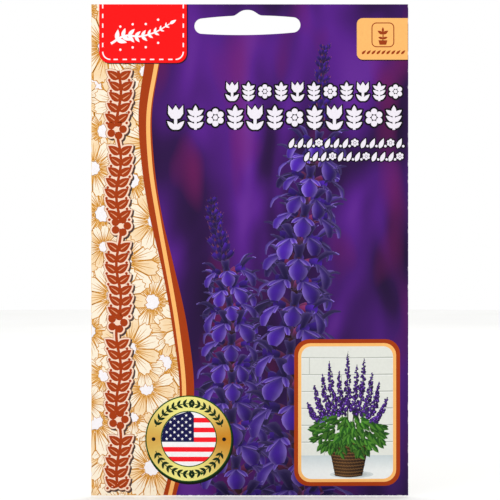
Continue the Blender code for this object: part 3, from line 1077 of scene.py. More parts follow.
def stem_u(v):
    """How far across the band the garland's stem lies at v."""
    return GARLAND_U + GARLAND_WAVE[0] * np.sin(2 * math.pi * np.asarray(v) / GARLAND_WAVE[1])


garland = Artwork()
knots = np.arange(GARLAND_SPAN[0], GARLAND_SPAN[1], LEAF_PITCH)
blossom_knots = knots[5::9]
leaf_knots = [v for v in knots if all(not -0.1 < v - b < 1.2 * LEAF_PITCH for b in blossom_knots)]
line = np.linspace(GARLAND_SPAN[0] - 1.5, GARLAND_SPAN[1] + 0.5, 120)
for by, shift, paint, film in GARLAND_LAYERS:
    stem = np.stack([stem_u(line) + shift, line + shift], 1)
    garland.stroke(stem, STEM_WIDTH + 2 * by, paint, film - 0.05)
leaf_spots = [(stem_u(v), v + 1.1, turn, 1.0) for turn in (-0.62, math.pi + 0.62) for v in leaf_knots]
garland.pieces += layered([leaf(*LEAF_SIZE)], leaf_spots, GARLAND_LAYERS)
vein = Artwork()
vein.stroke([(0.9, 0), (2.0, 0.04), (3.3, 0)], (0.3, 0.26, 0.1), VEIN, 0)
vein_film = GARLAND_LAYERS[-1][3] + 0.3
garland.pieces += set_out(vein.pieces, [(u, v, vein_film, turn) for u, v, turn, _ in leaf_spots])
berry_spots = [(stem_u(v) + side * BERRY_OUT, v + 1.35, 0, 1.0) for v in leaf_knots for side in (-1, 1)]
garland.pieces += layered([ring((0, 0), BERRY_R, 12)], berry_spots, GARLAND_LAYERS)
blossom_spots = [(stem_u(v), v, 0.3, 1.0) for v in blossom_knots]
garland.pieces += layered(five_petals(BLOSSOM_R), blossom_spots, GARLAND_LAYERS)
for v in blossom_knots:
    garland.dot((stem_u(v), v), CENTRE_R, GARLAND_LAYERS[2][2], 5.4)
laid("leaf_garland", garland, "front", INK)


# The tabs.
# A red tab hangs from the top edge, with printed white stitches and a drawn branch, and a pale orange
# tab comes in from the right edge with a pictogram of a potted seedling over a row of leaves.
TAB_FILM = 10.0
MARK_FILM = TAB_FILM + 0.4
RED_TAB = (2.45, 0.0, 28.94, 17.74)
RED_TAB_CORNER = 2.97
STITCH_IN = 1.05
STITCH = (1.3, 0.38)
STITCH_PITCH = 2.93
STITCH_CLEAR = 1.6
SIDE_STITCHES, LOW_STITCHES = 6, 7
BRANCH = ((6.0, 11.9), (10.0, 9.6), (15.0, 9.7), (19.5, 8.4), (23.8, 5.9))
ORANGE_TAB = (80.4, 4.18, WIDE, 16.77)
ORANGE_TAB_CORNER = 1.8
ICON = (85.0, 5.66, 91.6, 12.86)
ICON_CORNER = 1.36
SEEDLING = (
    # each leaf's length, width, foot and turn
    (1.6, 0.72, 8.5, -math.pi / 2),
    (1.9, 0.95, 9.0, -0.55),
    (1.9, 0.95, 9.0, math.pi + 0.55),
    (1.5, 0.75, 10.4, -0.3),
    (1.5, 0.75, 10.4, math.pi + 0.3),
)
WHITE, SHADOW, BROWN = colour("#FDFBFD"), colour("#2A0A20"), colour("#A03C0C")
TAB_RED = colour("#FF0A0C")


def rounded(u0, v0, u1, v1, radii):
    """A rectangle's outline with its own radius at each corner: top left, top right, bottom right,
    bottom left."""
    points = []
    corners = ((u0, v0, 1, 1, math.pi), (u1, v0, -1, 1, 1.5 * math.pi))
    corners += ((u1, v1, -1, -1, 0), (u0, v1, 1, -1, 0.5 * math.pi))
    for (u, v, su, sv, start), r in zip(corners, radii):
        if r == 0:
            points.append((u, v))
            continue
        points += ring((u + su * r, v + sv * r), r, 7, start, start + math.pi / 2)
    return points


def bar(length, wide):
    """The outline of a bar, centred."""
    u, v = length / 2, wide / 2
    return [(-u, -v), (u, -v), (u, v), (-u, v)]


tabs = Artwork()
u0, v0, u1, v1 = RED_TAB
corners = (0, 0, RED_TAB_CORNER, RED_TAB_CORNER)
tabs.fill(rounded(u0 + 0.3, v0, u1 + 0.3, v1 + 0.3, corners), SHADOW, TAB_FILM - 0.5)
tabs.fill(rounded(*RED_TAB, corners), TAB_RED, TAB_FILM)
low, corner = v1 - STITCH_IN, RED_TAB_CORNER - STITCH_IN + 0.4
stitches = []
for k in range(SIDE_STITCHES):
    v = 0.6 + STITCH_PITCH * k
    if v < low - corner:
        stitches += [(u, v, MARK_FILM, math.pi / 2) for u in (u0 + STITCH_IN, u1 - STITCH_IN)]
start, end = u0 + STITCH_IN + corner, u1 - STITCH_IN - corner
for u in np.linspace(start + STITCH_CLEAR, end - STITCH_CLEAR, LOW_STITCHES):
    stitches.append((u, low, MARK_FILM))
tabs.pieces += set_out([(bar(*STITCH), WHITE, 0)], stitches)
for u, turn in ((start, math.pi / 2), (end, 0)):
    arc = ring((u, low - corner), corner, 10, turn, turn + math.pi / 2)
    tabs.stroke(arc, STITCH[1], WHITE, MARK_FILM)

branch = smooth_line(BRANCH, 40)
tabs.stroke(branch, np.linspace(0.75, 0.3, 40), WHITE, MARK_FILM)
ahead = np.degrees(np.arctan2(*np.gradient(branch, axis=0).T[::-1]))
twigs = []
for k, at in enumerate(range(4, 37, 4)):
    for side in (-1, 1):
        size = (3.5, 3.2)[k % 2] * (1 - 0.018 * at)
        film = TAB_FILM + 0.45 + 0.05 * ((2 * k + side) % 4)
        twigs.append((*branch[at], film, math.radians(ahead[at] + side * 48), size))
twigs.append((*branch[-1], TAB_FILM + 0.5, math.radians(ahead[-1]), 2.3))
tabs.pieces += set_out(filled([leaf(1.0, 0.42, count=10)], WHITE), twigs)
berries = [(*(branch[at] + (0.3, side * 3.5)), MARK_FILM) for at in (6, 14, 22, 30) for side in (-1, 1)]
tabs.pieces += set_out([(ring((0, 0), 0.36, 12), WHITE, 0)], berries)

u0, v0, u1, v1 = ORANGE_TAB
corners = (ORANGE_TAB_CORNER, 0, 0, ORANGE_TAB_CORNER)
tabs.fill(rounded(u0 + 0.1, v0 + 0.3, u1, v1 + 0.3, corners), SHADOW, TAB_FILM - 0.5)
tabs.fill(rounded(*ORANGE_TAB, corners), ORANGE, TAB_FILM)
tabs.stroke(rounded(*ICON, (ICON_CORNER,) * 4), 0.3, BROWN, MARK_FILM, closed=True)
middle = (ICON[0] + ICON[2]) / 2
tabs.stroke([(middle, 11.0), (middle + 0.05, 9.6), (middle, 8.2)], 0.34, BROWN, MARK_FILM)
for k, (length, wide, foot, turn) in enumerate(SEEDLING):
    tabs.fill(leaf(length, wide, (middle, foot), turn), BROWN, TAB_FILM + 0.45 + 0.05 * k)
pot = [(middle + out, down) for out, down in ((-1.35, 10.9), (1.35, 10.9), (1.0, 12.25), (-1.0, 12.25))]
tabs.fill(pot, BROWN, MARK_FILM)
leaf_row = [(81.9 + 1.49 * k, 15.1, MARK_FILM, -0.75) for k in range(9)]
tabs.pieces += set_out(filled([leaf(1.75, 0.72)], BROWN), leaf_row)
laid("header_tabs", tabs, "front", INK)


# The ornament rows.
# Four rows of white tulips, sprigs and rosettes with black outlines, bold above and fine below, lined up
# along the right of the front.
ROW_FILM = 10.0
ROWS = (
    # left, right, top and foot of the row, how many ornaments, the black rim
    (40.2, 94.6, 23.5, 29.3, 11, 0.5),
    (22.6, 94.6, 30.6, 38.0, 12, 0.55),
    (59.4, 94.7, 40.3, 43.6, 13, 0.36),
    (64.1, 94.7, 44.4, 47.6, 12, 0.36),
)
BOLD_ROWS = 2
ROSETTE_SHARE = 0.82
BLACK = colour("#0A0510")
PAPER_LILAC = colour("#F4EEF8")


def tulip(tall):
    """A tulip's cup, stem and two leaves, centred, tall mm high."""
    cup = [(-0.3, -0.5), (-0.13, -0.3), (0, -0.5), (0.13, -0.3), (0.3, -0.5), (0.31, -0.16), (0.19, 0.02)]
    cup += [(0, 0.09), (-0.19, 0.02), (-0.31, -0.16)]
    stem = [(-0.065, 0.02), (0.065, 0.02), (0.065, 0.5), (-0.065, 0.5)]
    leaves = [leaf(0.5, 0.21, (0, 0.5), -math.pi / 2 + side * 0.78) for side in (-1, 1)]
    return [[(u * tall, v * tall) for u, v in part] for part in (cup, stem, *leaves)]


def sprig(tall):
    """An upright sprig with three pairs of leaves and one at its tip."""
    parts = [[(-0.055, -0.3), (0.055, -0.3), (0.055, 0.5), (-0.055, 0.5)]]
    parts.append(leaf(0.38, 0.2, (0, -0.12), -math.pi / 2))
    for foot in (0.42, 0.16, -0.08):
        parts += [leaf(0.4, 0.19, (0, foot), -math.pi / 2 + side * 0.95) for side in (-1, 1)]
    return [[(u * tall, v * tall) for u, v in part] for part in parts]


def rosette(tall):
    """A blossom of five round petals and its middle."""
    tall = tall * ROSETTE_SHARE
    return five_petals(tall / 2, 6) + [ring((0, 0), tall * 0.12, 12)]


def fine_leaves(tall):
    """One leaning leaf with a berry beside it."""
    leaning = leaf(tall, tall * 0.42, (-tall * 0.22, tall * 0.5), -math.pi / 2 + 0.42)
    return [leaning, ring((tall * 0.34, tall * 0.3), tall * 0.12, 10)]


rows = Artwork()
for number, (left, right, top, foot, count, rim) in enumerate(ROWS):
    layers = ((rim, 0.0, BLACK, ROW_FILM), (0.0, 0.0, PAPER_LILAC, ROW_FILM + 0.6))
    pitch = (right - left) / count
    kinds = (tulip, sprig, rosette, sprig) if number < BOLD_ROWS else (fine_leaves,) * 3 + (rosette,)
    for kind in dict.fromkeys(kinds):
        mine = [k for k in range(count) if kinds[k % 4] is kind]
        spots = [(left + pitch * (k + 0.5), (top + foot) / 2, 0, 1) for k in mine]
        rows.pieces += layered(kind(foot - top), spots, layers)
laid("ornament_rows", rows, "front", INK)


# The round badge.
# A gold ring with dark green outlines and a laurel round it, over a flag of stars and stripes, printed
# across the curved stripes near the foot.
BADGE = (29.6, 131.4)
BADGE_FILM = 10.6
BADGE_R, GOLD_R, INNER_R, FLAG_R = 13.14, 12.78, 8.5, 8.2
LAUREL_R = 10.65
LAUREL_HALF, LEAF_HALF = 1.22, 1.16
LAUREL_LEAVES = 15
LAUREL_LEAF = (1.95, 0.8)
CANTON = (31.14, 132.3)
FLAG_STRIPE = (125.0, 2.95, 1.44)
FLAG_STRIPES = 5
STAR_PITCH = (2.36, 1.02)
STAR_R = (0.5, 0.21)
GREEN_BLACK, BADGE_GREEN, BADGE_SHADOW = colour("#0E2A12"), colour("#0F4A14"), colour("#0A1408")
FLAG_RED, FLAG_BLUE = colour("#FF1A28"), colour("#10104A")
DEEP_GOLD, PALE_GOLD = colour("#CF8A20"), colour("#F6F08C")


def badge_ring(radius):
    """A circle round the badge's middle."""
    return ring(BADGE, radius, 72)


def gold(u, v):
    """The ring's metal-like gradient: pale at the top and the foot, deep gold at the sides."""
    turn = math.atan2(v - BADGE[1], u - BADGE[0])
    return mixed(DEEP_GOLD, PALE_GOLD, abs(math.sin(turn)) ** 1.6 + 0.25 * max(-math.cos(turn), 0))


def slice_of_flag(top, foot, left=0.0, right=WIDE):
    """The part of the flag's disc between two heights, cut off at a left and a right edge."""
    top, foot = max(top, BADGE[1] - FLAG_R + 0.02), min(foot, BADGE[1] + FLAG_R - 0.02)
    down = np.linspace(top, foot, 9)
    half = np.sqrt(FLAG_R**2 - (down - BADGE[1]) ** 2)
    one = np.clip(BADGE[0] - half, left, right)
    other = np.clip(BADGE[0] + half, left, right)
    return list(zip(one, down)), list(zip(other, down))


badge = Artwork()
badge.fill([(u + 0.25, v + 0.55) for u, v in badge_ring(BADGE_R + 0.15)], BADGE_SHADOW, BADGE_FILM - 0.4)
badge.fill(badge_ring(BADGE_R), BADGE_GREEN, BADGE_FILM)
outer, inner = ([*badge_ring(r), badge_ring(r)[0]] for r in (GOLD_R, INNER_R))
badge.between(outer, inner, gold, BADGE_FILM + 0.3)
badge.fill(badge_ring(FLAG_R), WHITE, BADGE_FILM + 0.3)
for k in range(FLAG_STRIPES):
    top = FLAG_STRIPE[0] + FLAG_STRIPE[1] * k
    left = CANTON[0] if top < CANTON[1] else 0
    badge.between(*slice_of_flag(top, top + FLAG_STRIPE[2], left), FLAG_RED, BADGE_FILM + 0.6)
badge.between(*slice_of_flag(0, CANTON[1], right=CANTON[0]), FLAG_BLUE, BADGE_FILM + 0.6)
star = []
for k in range(10):
    turn = math.pi * k / 5 - math.pi / 2
    star.append((STAR_R[k % 2] * math.cos(turn), STAR_R[k % 2] * math.sin(turn)))
stars = []
for row in range(9):
    for column in range(9):
        u = CANTON[0] - 1.15 - STAR_PITCH[0] * (column + 0.5 * (row % 2))
        v = CANTON[1] - 0.9 - STAR_PITCH[1] * row
        if math.hypot(u - BADGE[0], v - BADGE[1]) < FLAG_R - STAR_R[0]:
            stars.append((u, v, BADGE_FILM + 0.9))
badge.pieces += set_out(filled([star], WHITE), stars)
laurel = []
for way in (-1, 1):
    middle = way * math.pi / 2
    arc = ring(BADGE, LAUREL_R, 50, middle - LAUREL_HALF, middle + LAUREL_HALF)
    badge.stroke(arc, 0.26, GREEN_BLACK, BADGE_FILM + 0.6)
    for turn in np.linspace(middle - LEAF_HALF, middle + LEAF_HALF, LAUREL_LEAVES):
        foot = BADGE[0] + LAUREL_R * math.cos(turn), BADGE[1] + LAUREL_R * math.sin(turn)
        growing = turn + (math.pi / 2 if turn < middle - way * 1e-9 else -math.pi / 2)
        for side in (-1, 1):
            laurel.append((*foot, BADGE_FILM + 0.65 + 0.04 * side, growing + side * 0.72))
badge.pieces += set_out(filled([leaf(*LAUREL_LEAF)], GREEN_BLACK), laurel)
for side in (-1, 1):
    badge.dot((BADGE[0] + side * LAUREL_R, BADGE[1] + 0.1), 0.6, BLACK, BADGE_FILM + 0.6)
laid("round_badge", badge, "front", INK)


# The inset picture.
# A rust and pale orange frame round a small picture of a violet plant in a wicker pot before pale
# boards, printed at the foot of the front.
INSET = (61.4, 101.3, 93.5, 145.7)
INSET_CORNER = 4.5
FRAME = (1.2, 0.95)
FRAME_EASE = 0.7
INSET_FILM = 9.6
BOARD, BOARDS, FIRST_JOINT = 5.1, 7, 3.4
TABLE_V = 136.4
POT = ((71.6, 132.0), (84.2, 132.0), (82.0, 142.6), (73.8, 142.6))
POT_COLUMNS, POT_LIGHT, POT_SAG = 14, 0.32, 0.5
WICKER_ROWS, WICKER_COLUMNS = 11, 11
POT_SHADOW = (78.8, 142.2, 6.6, 1.15)
PLANT_TIPS = (
    (65.4, 120.5), (67.4, 115.2), (69.9, 112.0), (72.0, 108.0), (75.0, 110.8), (77.6, 105.4),
    (80.4, 109.2), (82.6, 107.2), (85.0, 111.4), (87.2, 114.2), (89.6, 119.0),
)
PLANT_FOOT = (77.6, 131.0)
MOUND = (77.6, 127.2, 10.6, 6.0)
LEAVES, FLECKS = 330, 84
BOARD_PALE, BOARD_GAP, BOARD_LIT, BOARD_END = (
    colour(code) for code in ("#E6E8E0", "#B7BBB2", "#F7F8F4", "#BFC2BA"))
TABLE_FAR, TABLE_NEAR = colour("#CBD6D8"), colour("#F1F4F2")
SHADOW_EDGE, SHADOW_DEEP = colour("#D6DDDD"), colour("#7E8482")
POT_BROWN, POT_DARK, WITHY_BROWN = colour("#49301C"), colour("#20120B"), colour("#75522E")
LEAF_LIT, LEAF_DARK, STALK_GREEN = colour("#4F8A2C"), colour("#245A1A"), colour("#31421F")
FLECK_VIOLET = colour("#3A1F63")


def sunk(box, by):
    """A box drawn in by as many mm on all four sides."""
    return (box[0] + by, box[1] + by, box[2] - by, box[3] - by)


def across_pot(share, down):
    """A place on the pot, at a share of its breadth and of its height."""
    left = POT[0][0] + (POT[3][0] - POT[0][0]) * down
    right = POT[1][0] + (POT[2][0] - POT[1][0]) * down
    return left + (right - left) * share, POT[0][1] + (POT[2][1] - POT[0][1]) * down


inset = Artwork()
film = INSET_FILM
inset.fill(rounded(*INSET, (INSET_CORNER,) * 4), RUST, film)
eased_corner = INSET_CORNER - FRAME[0] * FRAME_EASE
inset.fill(rounded(*sunk(INSET, FRAME[0]), (eased_corner,) * 4), ORANGE, film + 0.3)
inner = sunk(INSET, sum(FRAME))
radius = INSET_CORNER - sum(FRAME) * FRAME_EASE
inset.fill(rounded(*inner, (radius,) * 4), BOARD_PALE, film + 0.6)
wall_joints = []
for k in range(BOARDS):
    v = inner[1] + FIRST_JOINT + BOARD * k
    if v < TABLE_V - 1:
        start, end = inner[0] + 0.1, inner[2] - 0.1
        gap = [(start, v), (77.0, v + 0.12), (end, v - 0.05)]
        inset.stroke(gap, (0.3, 0.24, 0.34), BOARD_GAP, film + 0.75)
        inset.stroke([(start, v + 0.3), (end, v + 0.25)], 0.2, BOARD_LIT, film + 0.7)
        wall_joints.append((66.0 + (k * 9.7) % 22, v + BOARD / 2, film + 0.75, math.pi / 2))
inset.pieces += set_out([(bar(BOARD - 0.3, 0.24), BOARD_END, 0)], wall_joints)
table = rounded(inner[0], TABLE_V, inner[2], inner[3], (0, 0, radius, radius))
inset.fill(table, lambda u, v: mixed(TABLE_FAR, TABLE_NEAR, (v - TABLE_V) / 5), film + 0.9)
for k in range(6):
    shrink = 1 - k / 7
    u, v, wide, deep = POT_SHADOW
    shadow = [(u + wide * shrink * a, v + deep * shrink * b) for a, b in ring((0, 0), 1, 28)]
    inset.fill(shadow, mixed(SHADOW_EDGE, SHADOW_DEEP, k / 6), film + 0.95 + 0.02 * k)
for k in range(POT_COLUMNS):
    sides = []
    for s in (k / POT_COLUMNS, (k + 1) / POT_COLUMNS):
        u, v = across_pot(s, 1)
        sides.append([across_pot(s, 0), (u, v + POT_SAG * math.sin(math.pi * s))])
    lit = mixed(POT_BROWN, POT_DARK, abs((k + 0.5) / POT_COLUMNS - POT_LIGHT) / 0.62)
    inset.between(*sides, lit, film + 1.2)
withies = []
for row in range(WICKER_ROWS):
    for k in range(WICKER_COLUMNS):
        s = (k + 0.5 + 0.5 * (row % 2)) / (WICKER_COLUMNS + 0.5)
        u, v = across_pot(s, (row + 0.5) / WICKER_ROWS)
        bright = 1.15 - 0.9 * abs(s - POT_LIGHT)
        withies.append((u, v + 0.45 * math.sin(math.pi * s), film + 1.35, 0.1, 1.0, bright))
withy = Artwork()
withy.stroke([(-0.5, 0.1), (0, -0.1), (0.5, 0.1)], (0.2, 0.42, 0.2), WITHY_BROWN, 0)
inset.pieces += set_out(withy.pieces, withies)

chance = np.random.default_rng(21)
line = leaf(1.0, 0.5, count=6)
tiny = [([(0, 0)] + line[1:6], LEAF_LIT, 0), ([(1, 0)] + line[6:] + [(0, 0)], LEAF_DARK, 0)]
spots = []
for k in range(LEAVES):
    deep = k / LEAVES
    turn, out = chance.uniform(0, 2 * math.pi), chance.uniform() ** 0.55
    u, v = MOUND[0] + MOUND[2] * out * math.cos(turn), MOUND[1] + 1.5 + MOUND[3] * out * math.sin(turn)
    v += 1.6 * deep
    hang = math.atan2(v - MOUND[1] + 3.5, u - MOUND[0]) + chance.uniform(-0.7, 0.7)
    shade = 0.3 + 0.9 * deep * chance.uniform(0.35, 1.15)
    spots.append((u, v, film + 1.7 + 1.2 * deep, hang, chance.uniform(1.7, 3.1), shade))
inset.pieces += set_out(tiny, spots)
speck = filled([[(0, -1), (0.8, -0.35), (0.6, 0.7), (-0.55, 0.8), (-0.85, -0.2)]], FLECK_VIOLET)
flecks = []
for u, v in PLANT_TIPS:
    aside = u - PLANT_FOOT[0]
    foot = np.array([PLANT_FOOT[0] + aside * 0.5, PLANT_FOOT[1] - 3.0])
    line = smooth_line([foot, (foot + (u, v)) / 2 + (0.075 * aside, 0.4), (u, v)], 40)
    inset.stroke(line, np.linspace(0.4, 0.15, 40), STALK_GREEN, film + 1.5)
    for share in np.arange(FLECKS) / (FLECKS - 1):
        at = line[int(9 + 30 * share)]
        aside = chance.uniform(-1, 1) * (1.05 * (1 - share) ** 0.6 + 0.12)
        shade = (0.35 + 0.75 * chance.uniform()) * (1.15 - 0.45 * aside / 1.2)
        size = (0.46 * (1 - share) ** 0.4 + 0.16) * chance.uniform(0.7, 1.2)
        place = (at[0] + aside, at[1] + chance.uniform(-0.3, 0.3), film + 1.8 + 0.9 * chance.uniform())
        flecks.append((*place, chance.uniform(0, 6), size, shade))
inset.pieces += set_out(speck, flecks)
pale = [(u - 0.1, v - 0.1, film + 2.95, turn, size, 4.5) for u, v, _, turn, size, _ in flecks[::3]]
inset.pieces += set_out(speck, pale, size=0.4)
laid("inset_picture", inset, "front", INK)


# The print on the back.
# A violet header with a sprig row, the front's stripes as a rule under it, pictograms, a sowing
# calendar, a sowing diagram, grey bars in place of text and a bar label, all on the bare white coat.
BACK_FILM = 1.0
MARKS_FILM = BACK_FILM + 0.7
LAP_FILM = 4.0
BACK_LEFT, BACK_RIGHT = 15.0, 87.0
HEADER_FOOT = 18.4
RULE = ((0.0, 2.6, RUST), (0.35, 0.9, ORANGE))
RULE_WAVE = (0.8, 60)
ICONS_U, ICONS_V, ICON_R = (20.0, 39.0, 58.0, 77.0), 31.0, 6.4
CALENDAR = (24.0, 44.0)
CELL, CELL_PITCH, MONTHS = (5.2, 4.0), (5.6, 5.0), 12
MARK_U = 18.0
SOIL = (70.0, 6.4)
SEEDLINGS, SEEDLING_U, SEEDLING_PITCH = 6, 22.0, 12.4
TEXT_V, TEXT_PITCH, TEXT_ROWS, TEXT_HALF, SHORT_ROWS = 84.5, 2.15, 13, 0.42, (5, 12)
LABEL = (60.5, 114.4, 90.0, 130.6)
BARS = (62.6, 115.6, 13.6)
BAR_WIDTHS, BAR_GAPS = (0.33, 0.33, 0.66, 0.99), (0.33, 0.66, 0.66)
CARD = (15.0, 114.6, 57.0, 130.4)
GREY, CELL_GREY, CLEAN_WHITE = colour("#5A5660"), colour("#E7E3EA"), colour("#FFFFFF")
LEAF_GREEN, WATER_BLUE, HARVEST = colour("#3E8A3A"), colour("#2F6FA8"), colour("#F0A030")
BLOOM, PALE_ORANGE = colour("#5A1C86"), colour("#FFE3BC")
SOIL_BROWN, SEED_BROWN = colour("#B98A5C"), colour("#3A2418")
SEASONS = (
    # the first and last month, the colour and the mark's outline, row by row
    (1, 3, LEAF_GREEN, leaf(3.2, 1.5, (-1.6, 0.6), -0.4)),
    (4, 5, HARVEST, ring((0, 0), 1.3, 16)),
    (5, 9, BLOOM, leaf(3.0, 2.2, (0, 1.5), -math.pi / 2)),
)


def shifted(outline, u, v):
    """An outline moved by u and v."""
    return [(u + a, v + b) for a, b in outline]


def header_print(artwork, right, film, rule_film, holes=()):
    """The violet header and the waved rule under it."""
    edges = [(EDGE, 0), (right, 0), (right, HEADER_FOOT), (EDGE, HEADER_FOOT)]
    artwork.fill(edges, colour(PRINT_VIOLET), film, holes)
    wave = np.linspace(0, WIDE, 60)
    rule = HEADER_FOOT + RULE_WAVE[0] * np.sin(2 * math.pi * wave / RULE_WAVE[1])
    for drop, wide, paint in RULE:
        artwork.stroke(np.stack([wave, rule + drop], 1), wide, paint, rule_film + drop)


back = Artwork()
header_print(back, WIDE - EDGE, BACK_FILM, BACK_FILM + 0.5, [on_grid(slot_line("back"))])
sprigs = [(16 + 6.4 * k, 13.6, BACK_FILM + 0.5, math.pi / 2, 0.8) for k in range(11)]
faces = filled(sprig(5.0), PAPER_LILAC)
motif = [(points, paint, 0.04 * k) for k, (points, paint, _) in enumerate(faces)]
back.pieces += set_out(motif, sprigs)

roundel = [(ring((0, 0), ICON_R), RUST, 0), (ring((0, 0), ICON_R - 0.45), PALE_ORANGE, 0.3)]
back.pieces += set_out(roundel, [(u, ICONS_V, BACK_FILM) for u in ICONS_U])
sun_u, water_u, plant_u, depth_u = ICONS_U
back.dot((sun_u, ICONS_V), 1.9, RUST, MARKS_FILM)
rays = [(sun_u, ICONS_V, MARKS_FILM, k * math.pi / 4) for k in range(8)]
back.pieces += set_out([(leaf(1.7, 0.75, (2.5, 0)), RUST, 0)], rays)
drop = [(0.0, -4.2), *ring((0, 1.2), 2.2, 18, -0.5, math.pi + 0.5)]
back.fill(shifted(drop, water_u, ICONS_V), WATER_BLUE, MARKS_FILM)
for length, wide, rise, turn in (
    (3.6, 1.7, 0.6, -0.5),
    (3.6, 1.7, 0.6, math.pi + 0.5),
    (3.2, 1.4, -0.9, -math.pi / 2),
):
    back.fill(leaf(length, wide, (plant_u, ICONS_V + rise), turn), LEAF_GREEN, MARKS_FILM)
for line, wide, paint in (
    ([(plant_u, 32.0), (plant_u + 0.1, 34.6)], 0.5, LEAF_GREEN),
    ([(plant_u - 3.2, 34.8), (plant_u + 3.2, 34.8)], 0.5, RUST),
    ([(depth_u - 3.6, 33.6), (depth_u + 3.6, 33.6)], 0.45, RUST),
):
    back.stroke(line, wide, paint, MARKS_FILM)
ticks = [(depth_u + 1.2 * k, ICONS_V + 0.5, MARKS_FILM) for k in range(-3, 4)]
back.pieces += set_out([([(-0.2, 0), (0.2, 0), (0.2, 2.0), (-0.2, 2.0)], RUST, 0)], ticks)
back.fill(leaf(4.4, 1.8, (depth_u - 2.2, ICONS_V - 2)), RUST, MARKS_FILM)

left, top = CALENDAR
cells = [(left + CELL_PITCH[0] * k, top + CELL_PITCH[1] * row, BACK_FILM)
         for k in range(MONTHS) for row in range(len(SEASONS))]
back.pieces += set_out([(rounded(0, 0, *CELL, (0.5,) * 4), CELL_GREY, 0)], cells)
for row, (first, last, paint, mark) in enumerate(SEASONS):
    v = top + CELL_PITCH[1] * row
    start, end = left + CELL_PITCH[0] * first, left + CELL_PITCH[0] * last + CELL[0]
    back.fill(rounded(start, v, end, v + CELL[1], (0.5,) * 4), paint, MARKS_FILM)
    back.fill(shifted(mark, MARK_U, v + 2.0), paint, MARKS_FILM)

soil, deep = SOIL
edges = [(BACK_LEFT, soil), (BACK_RIGHT, soil), (BACK_RIGHT, soil + deep), (BACK_LEFT, soil + deep)]
back.fill(edges, SOIL_BROWN, BACK_FILM)
seedling = Artwork()
for k, turn in enumerate((-0.55, math.pi + 0.55)):
    seedling.fill(leaf(2.6, 1.2, (0, -2.4), turn), LEAF_GREEN, 0.03 * k)
seedling.stroke([(0, 0), (0.1, -1.4), (0, -2.8)], 0.4, LEAF_GREEN, 0.1)
seedling.dot((0, 3.0), 0.75, SEED_BROWN, 0.1, 12)
across = [SEEDLING_U + SEEDLING_PITCH * k for k in range(SEEDLINGS)]
back.pieces += set_out(seedling.pieces, [(u, soil, MARKS_FILM) for u in across])
pegs = [(u, soil + 8.2, MARKS_FILM, math.pi / 2) for u in across]
back.pieces += set_out([(bar(1.8, 0.3), RUST, 0)], pegs)
back.stroke([(across[0], soil + 8.2), (across[-1], soil + 8.2)], 0.3, RUST, MARKS_FILM)

chance = np.random.default_rng(4)
for row in range(TEXT_ROWS):
    u, v = BACK_LEFT, TEXT_V + TEXT_PITCH * row
    end = BACK_RIGHT - (18 if row in SHORT_ROWS else chance.uniform(0, 3))
    while u < end - 3:
        wide = min(chance.uniform(3.0, 9.5), end - u)
        word = rounded(u, v - TEXT_HALF, u + wide, v + TEXT_HALF, (0.3,) * 4)
        back.pieces.append((word, GREY, BACK_FILM))
        u += wide + 1.0

back.fill(rounded(*LABEL, (1,) * 4), CLEAN_WHITE, BACK_FILM)
back.stroke(rounded(*LABEL, (1,) * 4), 0.3, GREY, BACK_FILM + 0.3, closed=True)
u, v, tall = BARS
while u < BACK_RIGHT + 0.8:
    wide = BAR_WIDTHS[chance.integers(4)]
    strip = [(u, v), (u + wide, v), (u + wide, v + tall), (u, v + tall)]
    back.pieces.append((strip, BLACK, BACK_FILM + 0.3))
    u += wide + BAR_GAPS[chance.integers(3)]
back.fill(rounded(*CARD, (2,) * 4), PALE_ORANGE, BACK_FILM)
back.pieces += layered(tulip(10.0), [(22.0, 122.6, 0, 1)], ((0.0, 0.0, RUST, BACK_FILM + 0.5),))
for row, wide in enumerate((24, 20, 25, 14)):
    v = CARD[1] + 2.6 + 3.0 * row
    back.pieces.append((rounded(29, v, 29 + wide, v + 1.3, (0.4,) * 4), RUST, BACK_FILM + 0.5))
laid("back_print", back, "back", INK)

lap = Artwork()
foot = TALL - FLAP_END
head = HEADER_FOOT - 0.9
bleed = [(EDGE, head), (2.1, head), (1.9, TALL * 0.5), (2.2, foot - 2.2), (EDGE, foot - 0.1)]
lap.fill(bleed, colour(PRINT_VIOLET), LAP_FILM)
header_print(lap, LAP, LAP_FILM + 0.1, LAP_FILM + 0.5)
lap.pieces = clipped(lap.pieces, (EDGE, 0), (LAP, TALL))
laid("lap_print", lap, "back", INK, lap_lift)


# The sachet.
# Glassine, pressed glossy between rollers and nearly see-through, folded into a small flat bag. It lies
# loose inside the packet, round the seeds.
GLASSINE_CLOUD_MM = 1.8


def glassine():
    """Glassine gives a milky sheet with a satin glint, clouded by its short fibres."""
    constants = {"Roughness": 0.28, "IOR": 1.48, "Subsurface_Weight": 0.25}
    made, tree, sockets, at = principled("calendered_glassine", **constants)
    sockets["Subsurface Radius"].default_value = (0.5 * MM, 0.45 * MM, 0.4 * MM)
    paper_bump(tree, sockets, at, 0.3, 1.6)
    milk = clouded(tree, at, GLASSINE_CLOUD_MM, ((0.0, "#D9D3C2"), (1.0, "#F3EEDF")))[0]
    tree.links.new(milk, sockets["Base Color"])
    return made


def dressed(node_name, material):
    """A CAD node that keeps its shape and gets its material."""
    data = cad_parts[node_name].data
    data.materials.clear()
    data.materials.append(material)


dressed("inner_sachet", glassine())


# The seeds.
# Nutlets, dried to a hard dull husk, loose in the foot of the sachet.
PIT_MM, BLOOM_MM = 0.22, 0.7


